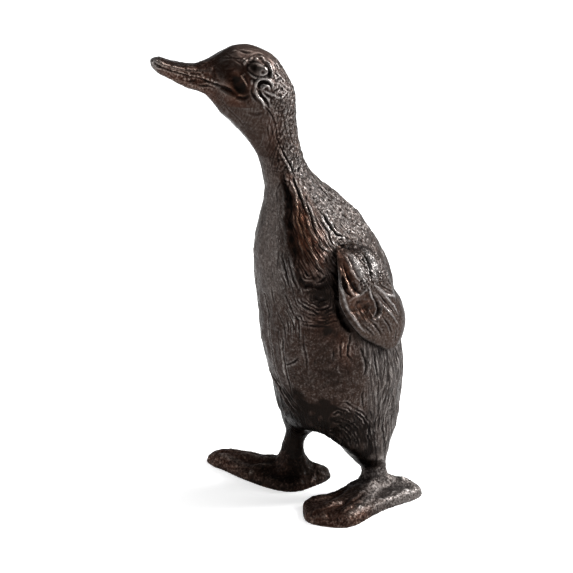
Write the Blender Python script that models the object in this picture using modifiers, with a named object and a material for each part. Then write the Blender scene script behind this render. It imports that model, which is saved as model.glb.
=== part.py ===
"""Cast iron duckling ornament, built as its castings and fasteners.

Two hollow body halves meet on the middle plane, the casting of the head and neck is held by its
root between them, and two wing castings plug into their flanks. Units are metres, +Z is up and the
duckling faces -Y, so +X is its left. The forms are laid out from a point on the floor midway
between its ankles, and the finished pieces are then moved so that the origin is the centre of the
ornament's footprint.
"""

import math

import bmesh
import bpy
import numpy as np
from mathutils import Matrix, Vector

MM = 0.001

# Fits and casting thickness
FIT_GAP = 0.3 * MM
WALL = 5.0 * MM
CUTTER_REACH = 400.0 * MM

# How finely the outer form is skinned and how many faces it keeps
SKIN_VOXEL = 1.3 * MM
SKIN_SMOOTHING = 6
SKIN_SHARE_KEPT = 0.067
RINGS_PER_SECTION = 3
SHARP_EDGE = math.radians(40.0)

# Points round each kind of section and sides of each kind of cylinder
TORSO_POINTS = 36
CAVITY_POINTS = 28
TAIL_POINTS = 20
NECK_POINTS = 36
HEAD_POINTS = 28
LEG_POINTS = 24
TOE_POINTS = 16
ROOT_SIDES = 40
SHANK_SIDES = 28
PEG_SIDES = 16

# Torso: height, middle of the section, half width, half depth (mm)
TORSO = (
    (36.0, -1.5, 15.0, 18.0),
    (41.0, 0.5, 24.5, 27.5),
    (49.0, 1.0, 30.5, 33.0),
    (61.0, 0.7, 33.5, 35.3),
    (72.0, -0.4, 34.5, 37.1),
    (84.0, -2.3, 35.0, 38.3),
    (95.0, -4.4, 35.0, 38.4),
    (106.0, -5.7, 35.0, 37.8),
    (117.5, -7.4, 34.5, 37.5),
    (129.0, -9.4, 33.5, 37.4),
    (140.0, -12.0, 31.5, 35.4),
    (151.0, -14.6, 28.5, 31.9),
    (163.0, -18.2, 24.0, 26.2),
    (172.0, -22.0, 19.5, 21.2),
    (180.0, -26.4, 15.2, 16.0),
    (187.0, -30.2, 12.0, 12.2),
    (194.0, -33.4, 9.5, 9.5),
)
TORSO_FULLNESS = 2.3

# Tail stub: distance back, height, half width, half height (mm)
TAIL = (
    (14.0, 66.0, 16.0, 20.0),
    (25.0, 59.0, 14.5, 17.0),
    (33.0, 52.0, 11.0, 12.0),
    (37.5, 47.5, 7.0, 7.0),
    (40.0, 44.5, 3.5, 3.0),
)

# Head and neck, turned to the duckling's right about an upright line through the neck root
HEAD_TURN = math.radians(25.0)
NECK_ROOT_BACK = -27.0 * MM

# Neck: height, forward shift, half depth, half width (mm)
NECK = (
    (168.0, -1.0, 12.0, 12.5),
    (178.0, 1.8, 12.8, 13.2),
    (185.0, 4.4, 13.0, 13.0),
    (189.0, 5.8, 12.4, 12.8),
    (194.4, 7.0, 12.0, 12.6),
    (200.0, 9.4, 12.5, 12.6),
    (206.0, 12.0, 13.7, 13.4),
    (212.0, 14.1, 15.2, 14.6),
    (220.0, 15.5, 16.0, 15.4),
    (228.0, 16.5, 13.5, 12.0),
)

# Skull: forward reach, top, widest level, underside, half width (mm)
SKULL = (
    (-0.2, 229.0, 217.0, 205.0, 6.5),
    (2.8, 237.5, 223.0, 201.0, 11.0),
    (8.3, 245.4, 229.0, 199.0, 15.0),
    (14.0, 250.6, 232.5, 199.0, 17.2),
    (20.0, 254.0, 234.5, 202.0, 18.3),
    (26.0, 255.1, 235.0, 206.8, 18.2),
    (32.0, 254.9, 235.0, 212.5, 16.8),
    (37.5, 252.7, 235.0, 217.8, 14.6),
    (42.0, 249.2, 235.5, 223.5, 12.0),
    (46.0, 245.8, 236.5, 228.6, 9.6),
)

# Upper and lower halves of the bill: forward reach, top, widest level, underside, half width (mm)
UPPER_BILL = (
    (34.0, 250.0, 241.0, 235.5, 12.0),
    (40.0, 248.5, 240.5, 237.0, 11.5),
    (45.0, 246.2, 240.8, 238.2, 10.2),
    (49.5, 244.8, 241.3, 239.2, 9.2),
    (54.5, 244.4, 241.6, 239.8, 8.8),
    (59.5, 245.0, 242.8, 241.3, 8.7),
    (64.5, 246.1, 244.5, 243.4, 8.5),
    (70.0, 247.3, 246.0, 245.0, 7.4),
    (73.0, 247.4, 246.6, 245.8, 5.4),
    (75.0, 246.6, 246.2, 245.8, 2.6),
)
LOWER_BILL = (
    (32.0, 236.0, 226.0, 215.5, 11.0),
    (38.0, 238.0, 229.0, 220.0, 10.2),
    (43.0, 239.0, 232.6, 225.8, 8.6),
    (48.0, 240.0, 235.6, 230.8, 7.2),
    (54.5, 240.6, 237.0, 233.4, 6.8),
    (59.5, 242.0, 239.0, 235.6, 6.6),
    (64.5, 244.0, 241.6, 238.4, 6.2),
    (69.8, 245.4, 243.9, 241.6, 5.2),
    (73.2, 246.0, 245.4, 244.2, 3.2),
)

# Eye: forward reach, drop from the crown, how far its centre lies inside the skull's side, radius
EYE_REACH = 18.5 * MM
EYE_BELOW_CROWN = 9.7 * MM
EYE_SET_IN = 2.3 * MM
EYE_RADIUS = 4.2 * MM

# Legs from the ankle up: height, x, y, half width, half depth (mm)
LEFT_LEG = (
    (3.0, 19.0, 12.5, 10.0, 10.5),
    (7.5, 19.0, 12.5, 8.2, 8.8),
    (12.0, 19.0, 12.6, 7.0, 7.2),
    (16.0, 19.0, 11.8, 7.1, 7.1),
    (20.3, 18.8, 10.4, 8.2, 8.4),
    (25.3, 18.2, 8.6, 10.8, 11.8),
    (29.3, 17.4, 6.8, 12.6, 15.5),
    (35.6, 16.4, 4.8, 14.2, 21.5),
    (45.0, 15.9, 3.4, 15.0, 26.3),
    (54.0, 15.5, 2.4, 15.6, 28.0),
    (63.0, 14.0, 1.5, 13.5, 25.0),
    (74.0, 12.5, 1.0, 9.0, 18.0),
)
RIGHT_LEG = (
    (3.0, -20.0, -16.5, 13.0, 13.0),
    (9.0, -20.0, -16.5, 10.0, 10.0),
    (14.5, -19.3, -16.0, 7.6, 6.8),
    (20.0, -19.0, -15.8, 6.8, 5.6),
    (25.0, -19.0, -15.6, 6.8, 5.6),
    (31.0, -18.0, -13.5, 8.8, 7.6),
    (36.0, -17.0, -9.5, 13.0, 14.5),
    (45.0, -15.9, -5.0, 15.0, 21.5),
    (54.0, -15.5, -3.5, 15.6, 23.0),
    (63.0, -14.0, -2.5, 13.5, 20.5),
    (74.0, -12.5, -2.0, 9.0, 15.0),
)

# Feet: ankle, heading, then toe tips, hind toe and sole outline as distances ahead and outward (mm)
LEFT_FOOT = {
    "ankle": (19.0, 14.0),
    "heading": math.radians(17.0),
    "toes": ((44.0, -12.5), (50.0, 1.5), (45.0, 15.0)),
    "hind": (-15.5, 17.5),
    "sole": (
        (41.5, -17.0),
        (50.0, -9.0),
        (54.5, -2.0),
        (53.5, 6.0),
        (48.0, 16.0),
        (41.0, 20.5),
        (30.0, 20.0),
        (15.0, 19.5),
        (3.0, 21.5),
        (-6.0, 23.5),
        (-14.0, 23.0),
        (-19.5, 18.5),
        (-17.5, 12.0),
        (-12.0, 4.0),
        (-8.5, -5.0),
        (2.0, -9.5),
        (20.0, -11.0),
        (32.0, -14.0),
    ),
}
RIGHT_FOOT = {
    "ankle": (-19.0, -14.5),
    "heading": math.radians(-52.0),
    "toes": ((25.0, -12.0), (51.0, -1.5), (53.0, 7.5)),
    "hind": (-13.5, 6.5),
    "sole": (
        (57.5, 4.5),
        (54.5, 0.0),
        (42.3, -6.5),
        (32.0, -11.5),
        (23.0, -15.0),
        (14.0, -18.0),
        (5.0, -19.8),
        (-4.5, -19.0),
        (-10.0, -13.8),
        (-15.0, -4.0),
        (-18.0, 4.0),
        (-17.0, 11.5),
        (-9.5, 14.0),
        (0.0, 13.0),
        (12.0, 10.5),
        (26.0, 9.5),
        (40.0, 11.5),
        (50.0, 13.0),
        (56.0, 10.0),
    ),
}
TOE_RISE = 13.0 * MM
TOE_TIP_RISE = 8.0 * MM
TOE_HALF_WIDTH = 5.5 * MM
TOE_TIP_HALF_WIDTH = 3.8 * MM
TOE_FULLNESS = 2.4
WEB_RISE = 6.2 * MM
WEB_EDGE = ((-0.5, 1.0), (0.1, 1.0), (0.6, 0.97), (1.0, 0.88))
SOLE_SINK = 3.0 * MM

# Plane that parts the neck from the body, square to the leaning neck
SEAT_HEIGHT = 175.0 * MM
SEAT_LEAN = math.radians(18.0)

# Neck root held by the halves
ROOT_RADIUS = 8.5 * MM
ROOT_LENGTH = 24.0 * MM
COLLAR_RADIUS = 11.0 * MM
COLLAR_THICKNESS = 5.0 * MM
COLLAR_DEPTH = 14.0 * MM

# Cavity between the two halves, drawn in to a share of its size over a rounding at each end
CAVITY_BOTTOM = 47.0 * MM
CAVITY_TOP = 144.0 * MM
CAVITY_LEVELS = 14
CAVITY_END_ROUNDING = 15.0 * MM
CAVITY_END_SHARE = 0.55

# Body screws across the halves: front to back place, height
UPPER_SCREW = (-27.0 * MM, 131.0 * MM)
LOWER_SCREW = (8.0 * MM, 62.0 * MM)
SCREW_RADIUS = 2.5 * MM
SCREW_HEAD_RADIUS = 4.6 * MM
SCREW_HEAD_HEIGHT = 3.0 * MM
SCREW_HEAD_RECESS = 2.0 * MM
SCREW_BITE = 13.0 * MM
BOSS_RADIUS = 7.5 * MM
SLOT_WIDTH = 1.2 * MM
SLOT_DEPTH = 1.2 * MM

# Locating pegs on the left rim: height and whether in the chest wall or the back wall
PEG_RADIUS = 1.6 * MM
PEG_LENGTH = 4.0 * MM
PEG_HEIGHTS = {"chest": 84.0 * MM, "back": 106.0 * MM}

# Wings: height, angle of the front and the back edge round the torso (degrees), stand-off of the
# front and the back edge, crown between them, half thickness, depth of the grooves between the
# feather locks (mm)
WING = (
    (154.5, -1.0, 6.0, 1.4, 1.4, 0.0, 0.8, 0.0),
    (151.5, -6.0, 16.0, 2.0, 1.5, 0.6, 1.2, 0.3),
    (146.5, -9.0, 28.0, 2.7, 1.6, 1.8, 1.5, 0.8),
    (138.5, -12.0, 38.0, 3.6, 1.5, 2.8, 1.8, 1.2),
    (130.5, -15.0, 44.0, 4.3, 1.5, 2.8, 1.9, 1.3),
    (124.0, -16.0, 47.0, 4.8, 1.5, 1.9, 1.9, 0.8),
    (119.5, -15.0, 49.0, 5.2, 1.6, 0.9, 1.9, 0.2),
    (114.0, -12.0, 51.0, 5.5, 2.0, 1.6, 2.0, 0.0),
    (108.0, -8.0, 50.0, 5.9, 2.6, 2.3, 2.0, 0.0),
    (102.5, -3.0, 43.0, 6.0, 3.2, 2.2, 1.9, 0.0),
    (97.5, 4.0, 33.0, 6.0, 4.0, 1.5, 1.6, 0.0),
    (93.5, 11.0, 23.0, 5.8, 4.8, 0.6, 1.2, 0.0),
)
WING_LOCKS = 4
WING_OUTER_POINTS = 20
WING_INNER_POINTS = 8
WING_EDGE_FULLNESS = 0.7

# Wing spigot, its place on the flank and the boss that it passes
SPIGOT_BACK = 2.0 * MM
SPIGOT_HEIGHT = 116.0 * MM
SPIGOT_RADIUS = 5.0 * MM
WING_BOSS_RADIUS = 9.0 * MM
WING_BOSS_FACE = 23.0 * MM
SPIGOT_SETBACK = 0.6 * MM
WING_SCREW_RADIUS = 2.0 * MM
WING_SCREW_BITE = 8.0 * MM
WING_SCREW_HEAD_RADIUS = 4.0 * MM
WING_SCREW_HEAD_HEIGHT = 2.6 * MM
WASHER_RADIUS = 8.0 * MM
WASHER_THICKNESS = 1.5 * MM

# Surfaces: colour, roughness, metallic
CAST_IRON = ("cast_iron", (0.045, 0.034, 0.028, 1.0), 0.42, 0.85)
WING_IRON = ("wing_cast_iron", (0.050, 0.036, 0.029, 1.0), 0.40, 0.85)
STEEL = ("blackened_steel", (0.16, 0.155, 0.15, 1.0), 0.38, 1.0)


def start_scene():
    """Empty the scene and return the collections of the pieces and of the cutters."""
    for old in list(bpy.data.objects):
        bpy.data.objects.remove(old, do_unlink=True)
    found = []
    for name in ("cast_iron_duckling", "cutters"):
        collection = bpy.data.collections.new(name)
        bpy.context.scene.collection.children.link(collection)
        found.append(collection)
    return found


def add_object(name, mesh, collection):
    made = bpy.data.objects.new(name, mesh)
    collection.objects.link(made)
    return made


def material(spec):
    name, colour, roughness, metallic = spec
    made = bpy.data.materials.get(name)
    if made is None:
        made = bpy.data.materials.new(name)
        made.use_nodes = True
        shader = made.node_tree.nodes["Principled BSDF"]
        shader.inputs["Base Color"].default_value = colour
        shader.inputs["Roughness"].default_value = roughness
        shader.inputs["Metallic"].default_value = metallic
        made.diffuse_color = colour
    return made


def smooth_rows(rows, steps):
    """Rows on a smooth curve through the given ones, with some steps between each pair."""
    given = np.array(rows, float)
    padded = np.vstack([2 * given[0] - given[1], given, 2 * given[-1] - given[-2]])
    found = []
    for i in range(1, len(padded) - 2):
        before, here, there, after = padded[i - 1 : i + 3]
        for t in np.linspace(0.0, 1.0, steps, endpoint=False):
            bend = (2 * before - 5 * here + 4 * there - after) * t**2
            twist = (3 * here - before - 3 * there + after) * t**3
            found.append(here + 0.5 * ((there - before) * t + bend + twist))
    found.append(given[-1])
    return np.array(found)


def oval(count, fullness=2.0):
    """Unit points round an oval, as pairs; a fullness over 2 squares it off."""
    turn = np.linspace(0.0, 2 * math.pi, count, endpoint=False)
    across = np.sign(np.cos(turn)) * np.abs(np.cos(turn)) ** (2 / fullness)
    along = np.sign(np.sin(turn)) * np.abs(np.sin(turn)) ** (2 / fullness)
    return across, along


def loft(name, rings, collection):
    """One closed skin through rings of equally many points, with flat ends."""
    bm = bmesh.new()
    rows = [[bm.verts.new(point) for point in ring] for ring in rings]
    count = len(rows[0])
    for low, high in zip(rows, rows[1:]):
        for i in range(count):
            j = (i + 1) % count
            bm.faces.new((low[i], low[j], high[j], high[i]))
    bm.faces.new(rows[0][::-1])
    bm.faces.new(rows[-1])
    bmesh.ops.recalc_face_normals(bm, faces=bm.faces)
    mesh = bpy.data.meshes.new(name)
    bm.to_mesh(mesh)
    bm.free()
    return add_object(name, mesh, collection)


def rod(name, radius, start, end, collection, sides=SHANK_SIDES):
    """A closed cylinder from one point to another."""
    start = Vector(start)
    axis = Vector(end) - start
    bm = bmesh.new()
    bmesh.ops.create_cone(
        bm, cap_ends=True, segments=sides, radius1=radius, radius2=radius, depth=axis.length
    )
    turn = axis.to_track_quat("Z", "Y").to_matrix().to_4x4()
    bmesh.ops.transform(bm, matrix=Matrix.Translation(start + axis / 2) @ turn, verts=bm.verts)
    mesh = bpy.data.meshes.new(name)
    bm.to_mesh(mesh)
    bm.free()
    return add_object(name, mesh, collection)


def block(name, low, high, collection):
    """A closed box between two corners."""
    low, high = Vector(low), Vector(high)
    bm = bmesh.new()
    size = Matrix.Diagonal((*(high - low), 1.0))
    bmesh.ops.create_cube(bm, size=1.0, matrix=Matrix.Translation((low + high) / 2) @ size)
    mesh = bpy.data.meshes.new(name)
    bm.to_mesh(mesh)
    bm.free()
    return add_object(name, mesh, collection)


def apply_modifiers(target):
    """Replace an object's mesh by its evaluated one and drop its modifiers."""
    bpy.context.view_layer.update()
    found = target.evaluated_get(bpy.context.evaluated_depsgraph_get())
    mesh = bpy.data.meshes.new_from_object(found)
    target.modifiers.clear()
    target.data = mesh


def cut(target, tool, operation="DIFFERENCE"):
    """Apply one Boolean of a closed tool to a closed target."""
    modifier = target.modifiers.new(operation.lower(), "BOOLEAN")
    modifier.operation = operation
    modifier.solver = "EXACT"
    modifier.object = tool
    apply_modifiers(target)


def copy_of(source, name, collection):
    return add_object(name, source.data.copy(), collection)


def row_at(rows, place):
    """The other columns of a smooth table, in metres, at a place in its first one."""
    fine = smooth_rows(rows, 8)
    return [np.interp(place / MM, fine[:, 0], column) * MM for column in fine.T[1:]]


def torso_at(height):
    """Middle, half width and half depth of the torso at a height."""
    return row_at(TORSO, height)


def flank(back, height):
    """How far out the torso's side is at a place along the body and a height."""
    middle, half_width, half_depth = torso_at(height)
    share = min(abs(back - middle) / half_depth, 0.98)
    return half_width * (1 - share**TORSO_FULLNESS) ** (1 / TORSO_FULLNESS)


def torso_rings():
    across, along = oval(TORSO_POINTS, TORSO_FULLNESS)
    for height, middle, half_width, half_depth in smooth_rows(TORSO, RINGS_PER_SECTION):
        yield [
            (half_width * a * MM, (middle + half_depth * b) * MM, height * MM)
            for a, b in zip(across, along)
        ]


def cavity_rings():
    """Sections of the space inside the walls, drawn in at both ends."""
    across, along = oval(CAVITY_POINTS, TORSO_FULLNESS)
    for height in np.linspace(CAVITY_BOTTOM, CAVITY_TOP, CAVITY_LEVELS):
        middle, half_width, half_depth = torso_at(height)
        from_end = min(height - CAVITY_BOTTOM, CAVITY_TOP - height)
        swell = math.sin(0.5 * math.pi * min(from_end / CAVITY_END_ROUNDING, 1.0))
        share = CAVITY_END_SHARE + (1.0 - CAVITY_END_SHARE) * swell
        wide, deep = (half_width - WALL) * share, (half_depth - WALL) * share
        yield [(wide * a, middle + deep * b, height) for a, b in zip(across, along)]


def tail_rings():
    across, up = oval(TAIL_POINTS)
    for back, height, half_width, half_height in smooth_rows(TAIL, 2):
        yield [
            (half_width * a * MM, back * MM, (height + half_height * b) * MM)
            for a, b in zip(across, up)
        ]


def head_point(ahead, left, height):
    """A point in the turned head's own terms."""
    forward = Vector((-math.sin(HEAD_TURN), -math.cos(HEAD_TURN), 0.0))
    side = Vector((math.cos(HEAD_TURN), -math.sin(HEAD_TURN), 0.0))
    return Vector((0.0, NECK_ROOT_BACK, height)) + forward * ahead + side * left


def neck_rings():
    across, along = oval(NECK_POINTS)
    for height, shift, half_depth, half_width in smooth_rows(NECK, 2):
        yield [
            head_point((shift + half_depth * b) * MM, half_width * a * MM, height * MM)
            for a, b in zip(across, along)
        ]


def head_rings(sections):
    """Upright sections along the head, wider at one level than at top and underside."""
    across, up = oval(HEAD_POINTS)
    for reach, top, widest, underside, half_width in smooth_rows(sections, 2):
        yield [
            head_point(
                reach * MM,
                half_width * a * MM,
                (widest + (top - widest if b > 0 else widest - underside) * b) * MM,
            )
            for a, b in zip(across, up)
        ]


def leg_rings(sections):
    across, along = oval(LEG_POINTS)
    for height, x, y, half_width, half_depth in smooth_rows(sections, 2):
        yield [
            ((x + half_width * a) * MM, (y + half_depth * b) * MM, height * MM)
            for a, b in zip(across, along)
        ]


def foot_point(foot, ahead, outward, height):
    """A point in a foot's own terms, from its ankle."""
    side = 1.0 if foot["ankle"][0] > 0 else -1.0
    turn = foot["heading"]
    forward = Vector((math.sin(turn), -math.cos(turn), 0.0))
    out = Vector((math.cos(turn), math.sin(turn), 0.0)) * side
    ankle = Vector((foot["ankle"][0] * MM, foot["ankle"][1] * MM, height))
    return ankle + forward * ahead * MM + out * outward * MM


def toe(name, foot, tip, collection):
    """A toe that narrows and drops from the ankle to its blunt tip."""
    length = math.hypot(*tip)
    along = (tip[0] / length, tip[1] / length)
    across, up = oval(TOE_POINTS, TOE_FULLNESS)
    rings = []
    for share, swell in ((0.0, 0.9), (0.12, 1.0), (0.45, 0.94), (0.8, 1.0), (0.93, 0.9), (1.0, 0.5)):
        half_width = (TOE_HALF_WIDTH + (TOE_TIP_HALF_WIDTH - TOE_HALF_WIDTH) * share) * swell
        rise = (TOE_RISE + (TOE_TIP_RISE - TOE_RISE) * share) * swell
        middle = (rise - SOLE_SINK) / 2
        half_height = (rise + SOLE_SINK) / 2
        ring = []
        for a, b in zip(across, up):
            sideways = half_width / MM * a
            ahead = tip[0] * share - along[1] * sideways
            outward = tip[1] * share + along[0] * sideways
            ring.append(foot_point(foot, ahead, outward, middle + half_height * b))
        rings.append(ring)
    return loft(name, rings, collection)


def web(name, foot, collection):
    """The webbed sheet under the toes, its edge drawn in from below the floor up to its top."""
    outline = smooth_rows((*foot["sole"], foot["sole"][0]), 2)[:-1]
    centre = outline.mean(axis=0)
    rings = []
    for rise, share in WEB_EDGE:
        points = centre + (outline - centre) * share
        rings.append([foot_point(foot, ahead, outward, WEB_RISE * rise) for ahead, outward in points])
    return loft(name, rings, collection)


def eye(name, side, collection):
    """An eyeball that stands a little proud of the skull's side."""
    top, widest, _, half_width = row_at(SKULL, EYE_REACH)
    height = top - EYE_BELOW_CROWN
    rise = (height - widest) / (top - widest)
    out = half_width * math.sqrt(max(1.0 - rise**2, 0.0)) - EYE_SET_IN
    bm = bmesh.new()
    place = Matrix.Translation(head_point(EYE_REACH, side * out, height))
    bmesh.ops.create_uvsphere(bm, u_segments=20, v_segments=12, radius=EYE_RADIUS, matrix=place)
    mesh = bpy.data.meshes.new(name)
    bm.to_mesh(mesh)
    bm.free()
    return add_object(name, mesh, collection)


def figure_skin(cutters):
    """The whole figure without its wings, as one skin cut flat at the soles."""
    masses = [
        loft("torso_mass", torso_rings(), cutters),
        loft("tail_mass", tail_rings(), cutters),
        loft("neck_mass", neck_rings(), cutters),
        loft("skull_mass", head_rings(SKULL), cutters),
        loft("upper_bill_mass", head_rings(UPPER_BILL), cutters),
        loft("lower_bill_mass", head_rings(LOWER_BILL), cutters),
        eye("left_eye_mass", 1.0, cutters),
        eye("right_eye_mass", -1.0, cutters),
    ]
    for side, leg, foot in (("left", LEFT_LEG, LEFT_FOOT), ("right", RIGHT_LEG, RIGHT_FOOT)):
        masses.append(loft(f"{side}_leg_mass", leg_rings(leg), cutters))
        masses.append(web(f"{side}_web_mass", foot, cutters))
        for i, tip in enumerate((*foot["toes"], foot["hind"])):
            masses.append(toe(f"{side}_toe_mass_{i}", foot, tip, cutters))

    joined = bmesh.new()
    for mass in masses:
        joined.from_mesh(mass.data)
        bpy.data.objects.remove(mass, do_unlink=True)
    mesh = bpy.data.meshes.new("figure_skin")
    joined.to_mesh(mesh)
    joined.free()
    skin = add_object("figure_skin", mesh, cutters)

    remesh = skin.modifiers.new("one_skin", "REMESH")
    remesh.mode = "VOXEL"
    remesh.voxel_size = SKIN_VOXEL
    remesh.use_smooth_shade = True
    soften = skin.modifiers.new("soften", "SMOOTH")
    soften.factor = 0.5
    soften.iterations = SKIN_SMOOTHING
    thin = skin.modifiers.new("fewer_faces", "DECIMATE")
    thin.ratio = SKIN_SHARE_KEPT
    apply_modifiers(skin)

    far = CUTTER_REACH
    cut(skin, block("floor_cutter", (-far, -far, 0.0), (far, far, far), cutters), "INTERSECT")
    return skin


def seat_frame():
    """Middle of the neck seat and the direction that leads up out of it."""
    middle, _, _ = torso_at(SEAT_HEIGHT)
    up = Vector((0.0, -math.sin(SEAT_LEAN), math.cos(SEAT_LEAN)))
    return Vector((0.0, middle, SEAT_HEIGHT)), up


def seat_cutter(name, lift, cutters):
    """A big block whose underside is the neck seat, raised by a lift."""
    far = CUTTER_REACH
    made = block(name, (-far, -far, 0.0), (far, far, far), cutters)
    seat, up = seat_frame()
    turn = up.to_track_quat("Z", "Y").to_matrix().to_4x4()
    made.data.transform(Matrix.Translation(seat + up * lift) @ turn)
    return made


def neck_root(name, grow, cutters, into_neck):
    """The collared root below the neck, or with a grow the socket that takes it."""
    seat, up = seat_frame()
    end = seat - up * (ROOT_LENGTH + grow)
    root = rod(name, ROOT_RADIUS + grow, end, seat + up * into_neck, cutters, ROOT_SIDES)
    low = seat - up * (COLLAR_DEPTH + COLLAR_THICKNESS + grow)
    high = seat - up * (COLLAR_DEPTH - grow)
    collar = rod(name + "_collar", COLLAR_RADIUS + grow, low, high, cutters, ROOT_SIDES)
    cut(root, collar, "UNION")
    return root


def head_and_neck(skin, parts, cutters):
    piece = copy_of(skin, "head_and_neck", parts)
    cut(piece, seat_cutter("above_seat", FIT_GAP / 2, cutters), "INTERSECT")
    cut(piece, neck_root("neck_root", 0.0, cutters, WALL), "UNION")
    return piece


def screw(name, start, direction, shank, radius, head_radius, head_height, parts, cutters):
    """A slotted screw whose head's underside is at start and whose shank runs along direction."""
    start = Vector(start)
    away = Vector(direction)
    piece = rod(name, head_radius, start - away * head_height, start, parts)
    inside_head = start - away * head_height / 2
    cut(piece, rod(name + "_shank", radius, inside_head, start + away * shank, cutters), "UNION")
    clear = start - away * (head_height + SLOT_DEPTH)
    bottom = start - away * (head_height - SLOT_DEPTH)
    low = (min(clear.x, bottom.x), start.y - 2 * head_radius, start.z - SLOT_WIDTH / 2)
    high = (max(clear.x, bottom.x), start.y + 2 * head_radius, start.z + SLOT_WIDTH / 2)
    cut(piece, block(name + "_slot", low, high, cutters))
    return piece


def body_screw_seat(place):
    """Where the underside of a body screw's head rests, out on the right flank."""
    return -(flank(*place) - SCREW_HEAD_RECESS - SCREW_HEAD_HEIGHT)


def hollow(cutters):
    """The space inside the body with room for the washers, less the screw bosses and the wing bosses."""
    space = loft("hollow", cavity_rings(), cutters)
    far = CUTTER_REACH
    place = (SPIGOT_BACK, SPIGOT_HEIGHT)
    room = WASHER_RADIUS + 2 * FIT_GAP
    reach = WING_BOSS_FACE + WALL / 2
    cut(space, rod("washer_room", room, (-reach, *place), (reach, *place), cutters), "UNION")
    for back, height in (UPPER_SCREW, LOWER_SCREW):
        cut(space, rod("boss_column", BOSS_RADIUS, (-far, back, height), (far, back, height), cutters))
    for side in (-1.0, 1.0):
        start, end = (side * WING_BOSS_FACE, *place), (side * far, *place)
        cut(space, rod("wing_boss_column", WING_BOSS_RADIUS, start, end, cutters))
    return space


def peg_places():
    """Where the locating pegs cross the middle plane, in the middle of the chest and the back wall."""
    for name, height in PEG_HEIGHTS.items():
        middle, _, half_depth = torso_at(height)
        reach = half_depth - WALL / 2
        yield (middle - reach if name == "chest" else middle + reach), height


def body_half(name, side, skin, space, parts, cutters):
    """One hollow half of the body with its leg and foot."""
    far = CUTTER_REACH
    piece = copy_of(skin, name, parts)
    cut(piece, seat_cutter("body_top", -FIT_GAP / 2, cutters))
    edges = sorted((side * FIT_GAP / 2, side * far))
    cut(piece, block("half_space", (edges[0], -far, -far), (edges[1], far, far), cutters), "INTERSECT")
    cut(piece, space)
    cut(piece, neck_root("neck_socket", FIT_GAP, cutters, WALL))

    place = (SPIGOT_BACK, SPIGOT_HEIGHT)
    start, end = (side * (WING_BOSS_FACE - WALL), *place), (side * far, *place)
    cut(piece, rod("spigot_hole", SPIGOT_RADIUS + FIT_GAP, start, end, cutters))

    for place in (UPPER_SCREW, LOWER_SCREW):
        if side > 0:
            start, end = (-WALL, *place), (SCREW_BITE + 2 * FIT_GAP, *place)
            cut(piece, rod("screw_hole", SCREW_RADIUS + FIT_GAP, start, end, cutters))
        else:
            seat = body_screw_seat(place)
            start, end = (seat - WALL, *place), (WALL, *place)
            cut(piece, rod("screw_hole", SCREW_RADIUS + FIT_GAP, start, end, cutters))
            start, end = (-far, *place), (seat + FIT_GAP, *place)
            cut(piece, rod("head_well", SCREW_HEAD_RADIUS + 2 * FIT_GAP, start, end, cutters))

    for back, height in peg_places():
        if side > 0:
            start, end = (PEG_LENGTH, back, height), (-PEG_LENGTH, back, height)
            cut(piece, rod("peg", PEG_RADIUS, start, end, cutters, PEG_SIDES), "UNION")
        else:
            start, end = (WALL, back, height), (-(PEG_LENGTH + FIT_GAP), back, height)
            cut(piece, rod("peg_hole", PEG_RADIUS + FIT_GAP, start, end, cutters, PEG_SIDES))
    return piece


def wing_rings(side):
    """Closed sections of a wing from its root to its tip, wrapped round the flank."""
    outer = np.linspace(0.0, math.pi, WING_OUTER_POINTS, endpoint=False)
    inner = np.linspace(math.pi, 2 * math.pi, WING_INNER_POINTS, endpoint=False)
    for height, front, back, front_lift, back_lift, crown, half_thick, groove in smooth_rows(WING, 2):
        middle, half_width, half_depth = torso_at(height * MM)
        ring = []
        for phase in (*outer, *inner):
            share = 0.5 - 0.5 * math.cos(phase)
            angle = math.radians(front + (back - front) * share)
            arch = math.sin(math.pi * share)
            bulge = abs(math.sin(phase)) ** WING_EDGE_FULLNESS
            thickness = math.copysign(bulge, math.sin(phase)) * half_thick
            lift = (front_lift + (back_lift - front_lift) * share + thickness) * MM
            if thickness > 0:
                ripple = 0.5 + 0.5 * math.cos(2 * math.pi * WING_LOCKS * share)
                lift += (crown - groove * ripple) * arch * MM
            lift = max(lift, 2 * FIT_GAP)
            a = math.copysign(abs(math.cos(angle)) ** (2 / TORSO_FULLNESS), math.cos(angle))
            b = math.copysign(abs(math.sin(angle)) ** (2 / TORSO_FULLNESS), math.sin(angle))
            normal = Vector((a / half_width, b / half_depth, 0.0)).normalized()
            x = half_width * a + lift * normal.x
            y = middle + half_depth * b + lift * normal.y
            ring.append((side * x, y, height * MM))
        yield ring


def wing(name, side, parts, cutters):
    """A wing casting with the spigot that plugs into the flank, drilled for its screw."""
    piece = loft(name, wing_rings(side), parts)
    place = (SPIGOT_BACK, SPIGOT_HEIGHT)
    _, _, front_lift, back_lift, _, _, _ = row_at(WING, SPIGOT_HEIGHT)
    outer = flank(*place) + (front_lift + back_lift) / 2
    inner = side * (WING_BOSS_FACE + SPIGOT_SETBACK)
    start, end = (inner, *place), (side * outer, *place)
    cut(piece, rod(name + "_spigot", SPIGOT_RADIUS, start, end, cutters), "UNION")
    start = (side * (WING_BOSS_FACE - WALL), *place)
    end = (inner + side * (WING_SCREW_BITE + FIT_GAP), *place)
    cut(piece, rod(name + "_bore", WING_SCREW_RADIUS + FIT_GAP, start, end, cutters))
    return piece


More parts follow.
